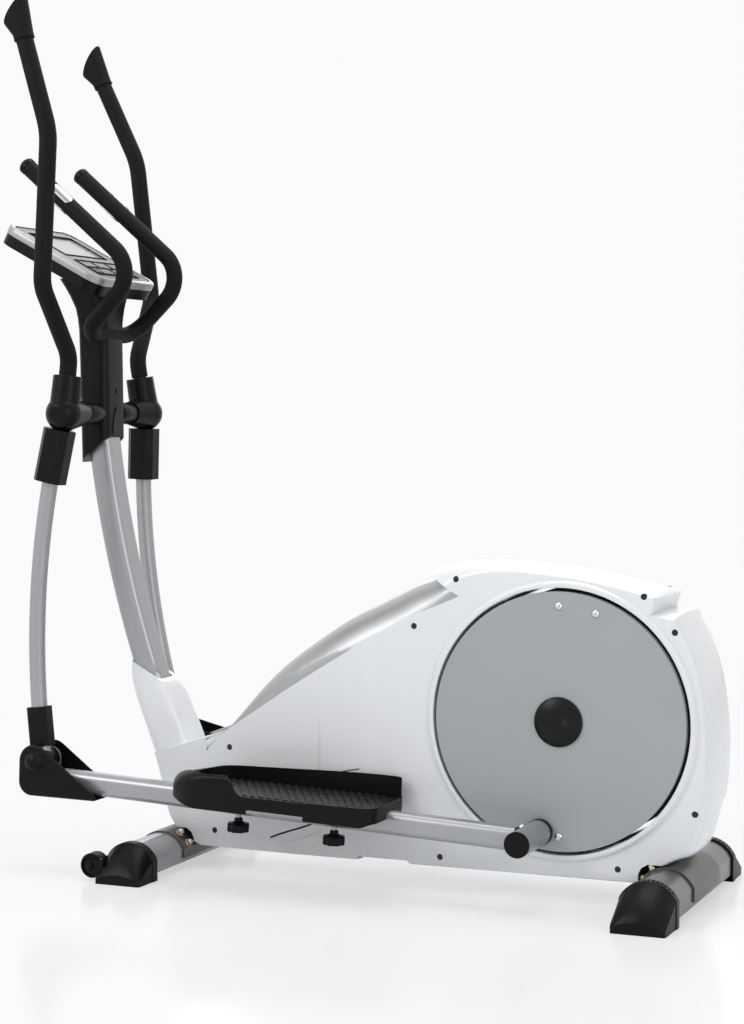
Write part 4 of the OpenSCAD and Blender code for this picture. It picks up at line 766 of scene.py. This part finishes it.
# ---------------------------------------------------------------- console
# A shallow computer housing on top of the mast, sloping to the user: a black tray under a silver frame, a grey face
# with a framed display, and a keypad with five raised keys among flat ones. All is laid out in mm on its own slope.
on_console = (Matrix.Translation((mast_x + 0.079, 0, 1.165)) @ Matrix.Rotation(math.radians(28), 4, "Y")
              @ Matrix.Diagonal((-1, 1, 1, 1)))
frame_silver = finish_of("frame_silver", (0.40, 0.405, 0.41), metal=0.5, rough=0.36, grain=0.5, depth=0.002,
                         drift=0.02, coat=0.15)
face_grey = finish_of("face_grey", (0.13, 0.132, 0.136), metal=0.35, rough=0.42, grain=0.4, depth=0.003, drift=0.04,
                      shine=0.3)
pad_black = finish_of("pad_black", (0.004, 0.004, 0.0045), rough=0.6, grain=0.4, depth=0.004, drift=0.1, shine=0.02)
display = finish_of("display", (0.17, 0.175, 0.175), rough=0.32, grain=4, depth=0, drift=0.05, shine=0.25, vary=0.02)
key_grey = finish_of("key_grey", (0.085, 0.087, 0.09), rough=0.42, grain=0.6, depth=0.01, drift=0.06, shine=0.35)
wear(cover_black, "console_base")
wear(display, "console_screen")
wear(key_grey, "start_key", "stop_key", "up_key", "down_key", "enter_key")


def panel(name, x0, x1, half, corner, z0, z1):
    # A sheet with rounded corners between two heights.
    bm = bmesh.new()
    at = [bm.verts.new((x / 1000, y / 1000, z0 / 1000)) for x, y in ((x0, -half), (x1, -half), (x1, half), (x0, half))]
    bm.faces.new(at)
    bmesh.ops.bevel(bm, geom=at, offset=corner / 1000, segments=10, profile=0.5, material=-1, affect="VERTICES")
    thicken(bm, 0, 0, z1 - z0)
    return new_piece(name, bm)


def soften(piece, chosen, by, segments=4):
    # Rounds the edges that the test picks, by the given mm.
    bm = bmesh.new()
    bm.from_mesh(piece.data)
    bmesh.ops.bevel(bm, geom=[e for e in bm.edges if chosen(*(v.co for v in e.verts))], offset=by / 1000,
                    segments=segments, profile=0.5, material=-1, affect="EDGES", clamp_overlap=True)
    bm.to_mesh(piece.data)
    bm.free()


below, above = -20, 5
rim = panel("console_frame", 0, 250, 125, 36, -16, 0)
soften(rim, lambda a, b: a.z > -1e-6 and b.z > -1e-6, 4.5)
soften(rim, lambda a, b: a.z < -0.0159 and b.z < -0.0159, 1.5, 2)
carve(rim, [panel("well", 10, 240, 115, 27, -3, above), panel("under", 5, 245, 120, 32, below, -6)])
carve(rim, [panel("window", 118, 210, 80, 2, below, above)])
face = panel("console_face", 10.3, 239.7, 114.7, 26.7, -3.0, -2.0)
carve(face, [panel("window", 115, 213, 83, 4, below, above)])
surround = panel("display_frame", 113, 215, 85, 5, -3.0, -1.0)
soften(surround, lambda a, b: a.z > -0.0011 and b.z > -0.0011, 0.8, 2)
carve(surround, [panel("window", 118.5, 209.5, 79.5, 2, below, above)])
pad = panel("keypad_plate", 28, 96, 86, 6, -2.0, -1.2)
for pierced in (face, rim, pad):
    carve(pierced, [box("gap", (x - 0.5, y - 22.5, below), (x + 20.5, y + 22.5, above), Matrix())
                    for x, y in ((66, -56), (66, 0), (66, 56), (36, -28), (36, 28))])
flat_keys = [box("flat_key", (37.5 + 6.4 * k, side * 68 - 10, -1.3), (42.1 + 6.4 * k, side * 68 + 10, -0.5), Matrix(),
                 0.35) for side in (-1, 1) for k in range(3)]
for piece, mat, node in ((rim, frame_silver, ("console_bezel",)), (face, face_grey, ()), (surround, pad_black, ()),
                         (pad, pad_black, ()), (join("flat_keys", flat_keys), face_grey, ())):
    piece.data.transform(on_console)
    piece.data.flip_normals()
    dress(piece, mat, "frame", *node, angle=30)


# ---------------------------------------------------------------- swing arms
# Bowed silver tubes hang from the cross tube's ends. Above the pivot a cranked bar in foam with a dished knob is the
# moving handle; a two-part black clamshell with sleeves covers the joint.
wear(silver_tube, "left_lower_arm", "right_lower_arm")
wear(foam, "left_grip", "right_grip")
wear(arm_paint, "left_upper_arm", "right_upper_arm")
wear(cover_black, "left_arm_covers", "right_arm_covers")


# ---------------------------------------------------------------- pedal arms
# Oval silver tubes from the swing arm's lower joint to the crank pin, where a welded sleeve turns on the pin between a
# black ring and a black end cap. A thin bush hides the swing arm's eye.
def on_beam(side):
    # From the pedal arm's frame, joint at the origin and crank pin along +X, outwards +Y, to the machine's.
    x, z, tilt = (-0.583264, 0.217128, -4.918277) if side < 0 else (-0.466560, 0.220398, 18.577014)
    return (Matrix.Translation((x, 0, z)) @ Matrix.Rotation(math.radians(-tilt), 4, "Y")
            @ Matrix.Diagonal((1, side, 1, 1)))


on_tube = Matrix.Translation((0, 0.186, -0.036)) @ Matrix.Rotation(math.radians(-2.0488), 4, "Y")
wear(silver_tube, "left_pedal_beam", "right_pedal_beam")
wear(moulded_black, "left_arm_pins", "right_arm_pins")
for side, name in ((-1, "left"), (1, "right")):
    bush = turned(name + "_eye_bush", [(20.2, 162), (21.2, 162), (21.6, 162.8), (21.6, 209.2), (21.2, 210),
                                       (20.2, 210)], on_beam(side), 48)
    dress(bush, moulded_black, name + "_pedal_arm")


# ---------------------------------------------------------------- joint boots
# Black moulded boots over the lower joints: two rounded cheeks joined under the tube, with soft edges all round.
boot_discs = [(0, 0, 34, 48), (-4, -40, 28, 48), (136, -52, 6, 24)]
for side, name in ((-1, "left"), (1, "right")):
    skin = hulled("boot", boot_discs, 144, 228, Matrix())
    soften(skin, lambda a, b: abs(a.y - b.y) < 1e-6, 5.5, 5)
    inner = hulled("inner", [(x, z, r - 3, cuts) for x, z, r, cuts in boot_discs] + [(220, -52, 0.5, 24),
                                                                                   (220, 80, 0.5, 24)],
                   147.5, 224.5, Matrix())
    room = box("room", (-100, 147.5, -18), (300, 224.5, 200), Matrix())
    bore = turned("bore", [(0, 100), (13.3, 100), (13.3, 260), (0, 260)], Matrix(), 40)
    for tool in (inner, room, bore):
        carve(skin, [tool])
    skin.data.transform(on_beam(side))
    if side < 0:
        skin.data.flip_normals()
    skin.name = name + "_boot_skin"
    dress(skin, moulded_black, name + "_pedal_arm", name + "_joint_boot", angle=26)


# ---------------------------------------------------------------- pedals
# Black moulded foot trays. A rounded nose wraps round the toes, a wall guards the crank side, and the outer side and
# heel are open down to a low lip; the ribbed tread is a separate mat, and the skirt straddles the pedal arm.
def foot_plan(x0, x1, half, nose, heel, z):
    # A flat foot shape with a broad round nose and a tighter heel, in mm from the middle of the tread.
    bm = bmesh.new()
    at = [bm.verts.new((x / 1000, y / 1000, z / 1000)) for x, y in ((x0, -half), (x1, -half), (x1, half), (x0, half))]
    bm.faces.new(at)
    bmesh.ops.bevel(bm, geom=[at[0], at[3]], offset=nose / 1000, segments=18, profile=0.5, material=-1,
                    affect="VERTICES")
    ends = [v for v in bm.verts if v.co.x > x1 / 1000 - 1e-6]
    bmesh.ops.bevel(bm, geom=ends, offset=heel / 1000, segments=10, profile=0.5, material=-1, affect="VERTICES")
    bmesh.ops.subdivide_edges(bm, edges=[e for e in bm.edges if e.calc_length() > 0.06], cuts=24)
    return bm


def foot_block(name, plan, tall):
    bm = foot_plan(*plan)
    thicken(bm, 0, 0, tall)
    return new_piece(name, bm)


def smooth_step(a, b, x):
    t = min(max((x - a) / (b - a), 0), 1)
    return t * t * (3 - 2 * t)


def tray_form():
    # The tray's outside: upright walls whose top edge rises to the rear on the crank side and swells over the toes.
    bm = foot_plan(-219, 219, 84, 78, 26, 0)
    spot = bm.verts.layers.int.new("spot")
    face = bm.faces[:][0]
    ring = face.verts[:]
    base = [v.co.copy() * 1000 for v in ring]
    n = len(ring)
    area = sum(base[i].x * base[(i + 1) % n].y - base[(i + 1) % n].x * base[i].y for i in range(n))
    turn = 1 if area > 0 else -1
    out = []
    for i, v in enumerate(ring):
        v[spot] = i
        d = (base[(i + 1) % n] - base[i - 1]).normalized()
        out.append(Vector((d.y * turn, -d.x * turn, 0)))

    def place(v, level, t):
        p, o = base[v[spot]], out[v[spot]]
        outer = smooth_step(-20, 70, p.y)
        nose = 1 - smooth_step(-205, -95, p.x)
        guard = 28 + 14 * smooth_step(-200, 200, p.x)
        top = (1 - outer) * guard + outer * 38 - 5 * (1 - smooth_step(-219, -150, p.x))
        soft = 3.5 + 22 * nose + 5 * outer
        low = -30 + 14 * (1 - smooth_step(-219, -140, p.x)) + 8 * smooth_step(190, 219, p.x)
        if level == "foot":
            z, gap = low, 2 * (1 - t)
        else:
            z, gap = top - soft + soft * math.sin(t), soft * (1 - math.cos(t))
        q = p - o * gap
        v.co = Vector((q.x, q.y, z)) / 1000

    for v in ring:
        place(v, "foot", 0)
    for level, t in [("foot", 1)] + [("top", math.radians(a)) for a in (0, 12, 24, 36, 48, 60, 72, 84, 90)]:
        face, fresh = pushed(bm, face, level == "foot")
        for v in fresh:
            place(v, level, t)
    return new_piece("tray", bm)


tread_rubber = finish_of("tread_rubber", (0.014, 0.014, 0.015), rough=0.40, grain=1.1, depth=0.05, drift=0.35,
                         scuff=0.25, shine=0.3)
pedal_frame = Matrix.Translation((0.521, 0.190, 0.011)) @ Matrix.Rotation(math.radians(-2.5888), 4, "Y")
side_line = curve_through([(-90, 70, 0), (-82, 42, 0), (-70, 27, 0), (-62, 12, 0), (-52, 4.5, 0), (-40, 2.5, 0)], 5)
for side, name in ((-1, "left"), (1, "right")):
    tray = tray_form()
    bm = bmesh.new()
    bm.faces.new([bm.verts.new((x / 1000, -0.0755, z / 1000)) for x, z in
                  [(p.x, p.y) for p in side_line] + [(60, 3.5), (150, 6), (260, 8), (260, 90), (-90, 90)]])
    thicken(bm, 0, 200, 0)
    for tool in (foot_block("cavity", (-181, 213, 77.5, 68, 21, 0), 90),
                 foot_block("under", (-214, 214, 79, 72, 22, -60), 56), new_piece("open_side", bm),
                 box("skirt_notch", (-37, 20, -70), (80, 120, -21.5), Matrix()),
                 box("groove", (100, -19.4, -90), (907, 19.4, 22.4), pedal_frame.inverted() @ on_tube)):
        carve(tray, [tool])
    bm = bmesh.new()
    for k in range(-13, 14):
        for j in range(-4, 5):
            at = (Matrix.Translation((0.0165 * k, 0, 0.0022)) @ Matrix.Rotation(math.radians(62), 4, "Z")
                  @ Matrix.Translation((0.024 * j + 0.012 * (k % 2), 0, 0)))
            bmesh.ops.create_cube(bm, size=1, matrix=at @ Matrix.Diagonal((0.0205, 0.0085, 0.0044, 1)))
    bars = new_piece("bars", bm)
    carve(bars, [foot_block("limit", (-177, 207, 73, 62, 17, -5), 20)], "INTERSECT")
    sheet = foot_block("sheet", (-180.4, 212.4, 76.9, 67, 20, 0), 1.6)
    carve(sheet, [box("clip", (-300, 76, -10), (300, 90, 20), Matrix())])
    tread = join(name + "_tread_mat", [sheet, bars])
    for piece, finish, nodes in ((tray, moulded_black, (name + "_pedal",)), (tread, tread_rubber, ())):
        piece.data.transform(on_beam(side) @ pedal_frame)
        if side < 0:
            piece.data.flip_normals()
        dress(piece, finish, name + "_pedal_arm", *nodes, angle=28)
    tray.name = name + "_tray"


# ---------------------------------------------------------------- pedal knobs
# Black star knobs on plated studs hold each pedal from below the arm.
upright = Matrix.Rotation(math.radians(90), 4, "X")
thread = [(0, -30)]
for k in range(9):
    thread += [(4.3, -30 + 0.9 * k), (5, -29.55 + 0.9 * k)]
thread += [(4.3, -22.2), (0, -22.2)]
for side, name in ((-1, "left"), (1, "right")):
    for along, which in ((431.5, "front"), (630.5, "rear")):
        knob = f"{name}_{which}"
        at = on_beam(side) @ on_tube @ Matrix.Translation((along / 1000, 0, 0))
        bm = bmesh.new()
        bmesh.ops.create_circle(bm, cap_ends=True, segments=96, radius=0.0205)
        for v in bm.verts:
            around = math.atan2(v.co.y, v.co.x)
            v.co *= 1 + 0.07 * math.cos(8 * around)
            v.co.z = -0.056
        bmesh.ops.recalc_face_normals(bm, faces=bm.faces)
        thicken(bm, 0, 0, 17)
        star = new_piece("star", bm)
        soften(star, lambda a, b: abs(a.z - b.z) < 1e-6 and a.length > 0.018, 3.0, 4)
        star.data.transform(at)
        neck = turned("neck", [(0, -39.5), (14, -39.5), (12.5, -38), (9.5, -36.4), (8.2, -34), (8, -30), (7.2, -29),
                               (0, -29)], at @ upright, 48)
        dress(join(knob + "_star", [star, neck]), moulded_black, knob + "_clamp_knob", knob + "_knob", angle=30)
        dress(turned(knob + "_stud", thread, at @ upright, 32), polished, knob + "_clamp_knob", angle=20)
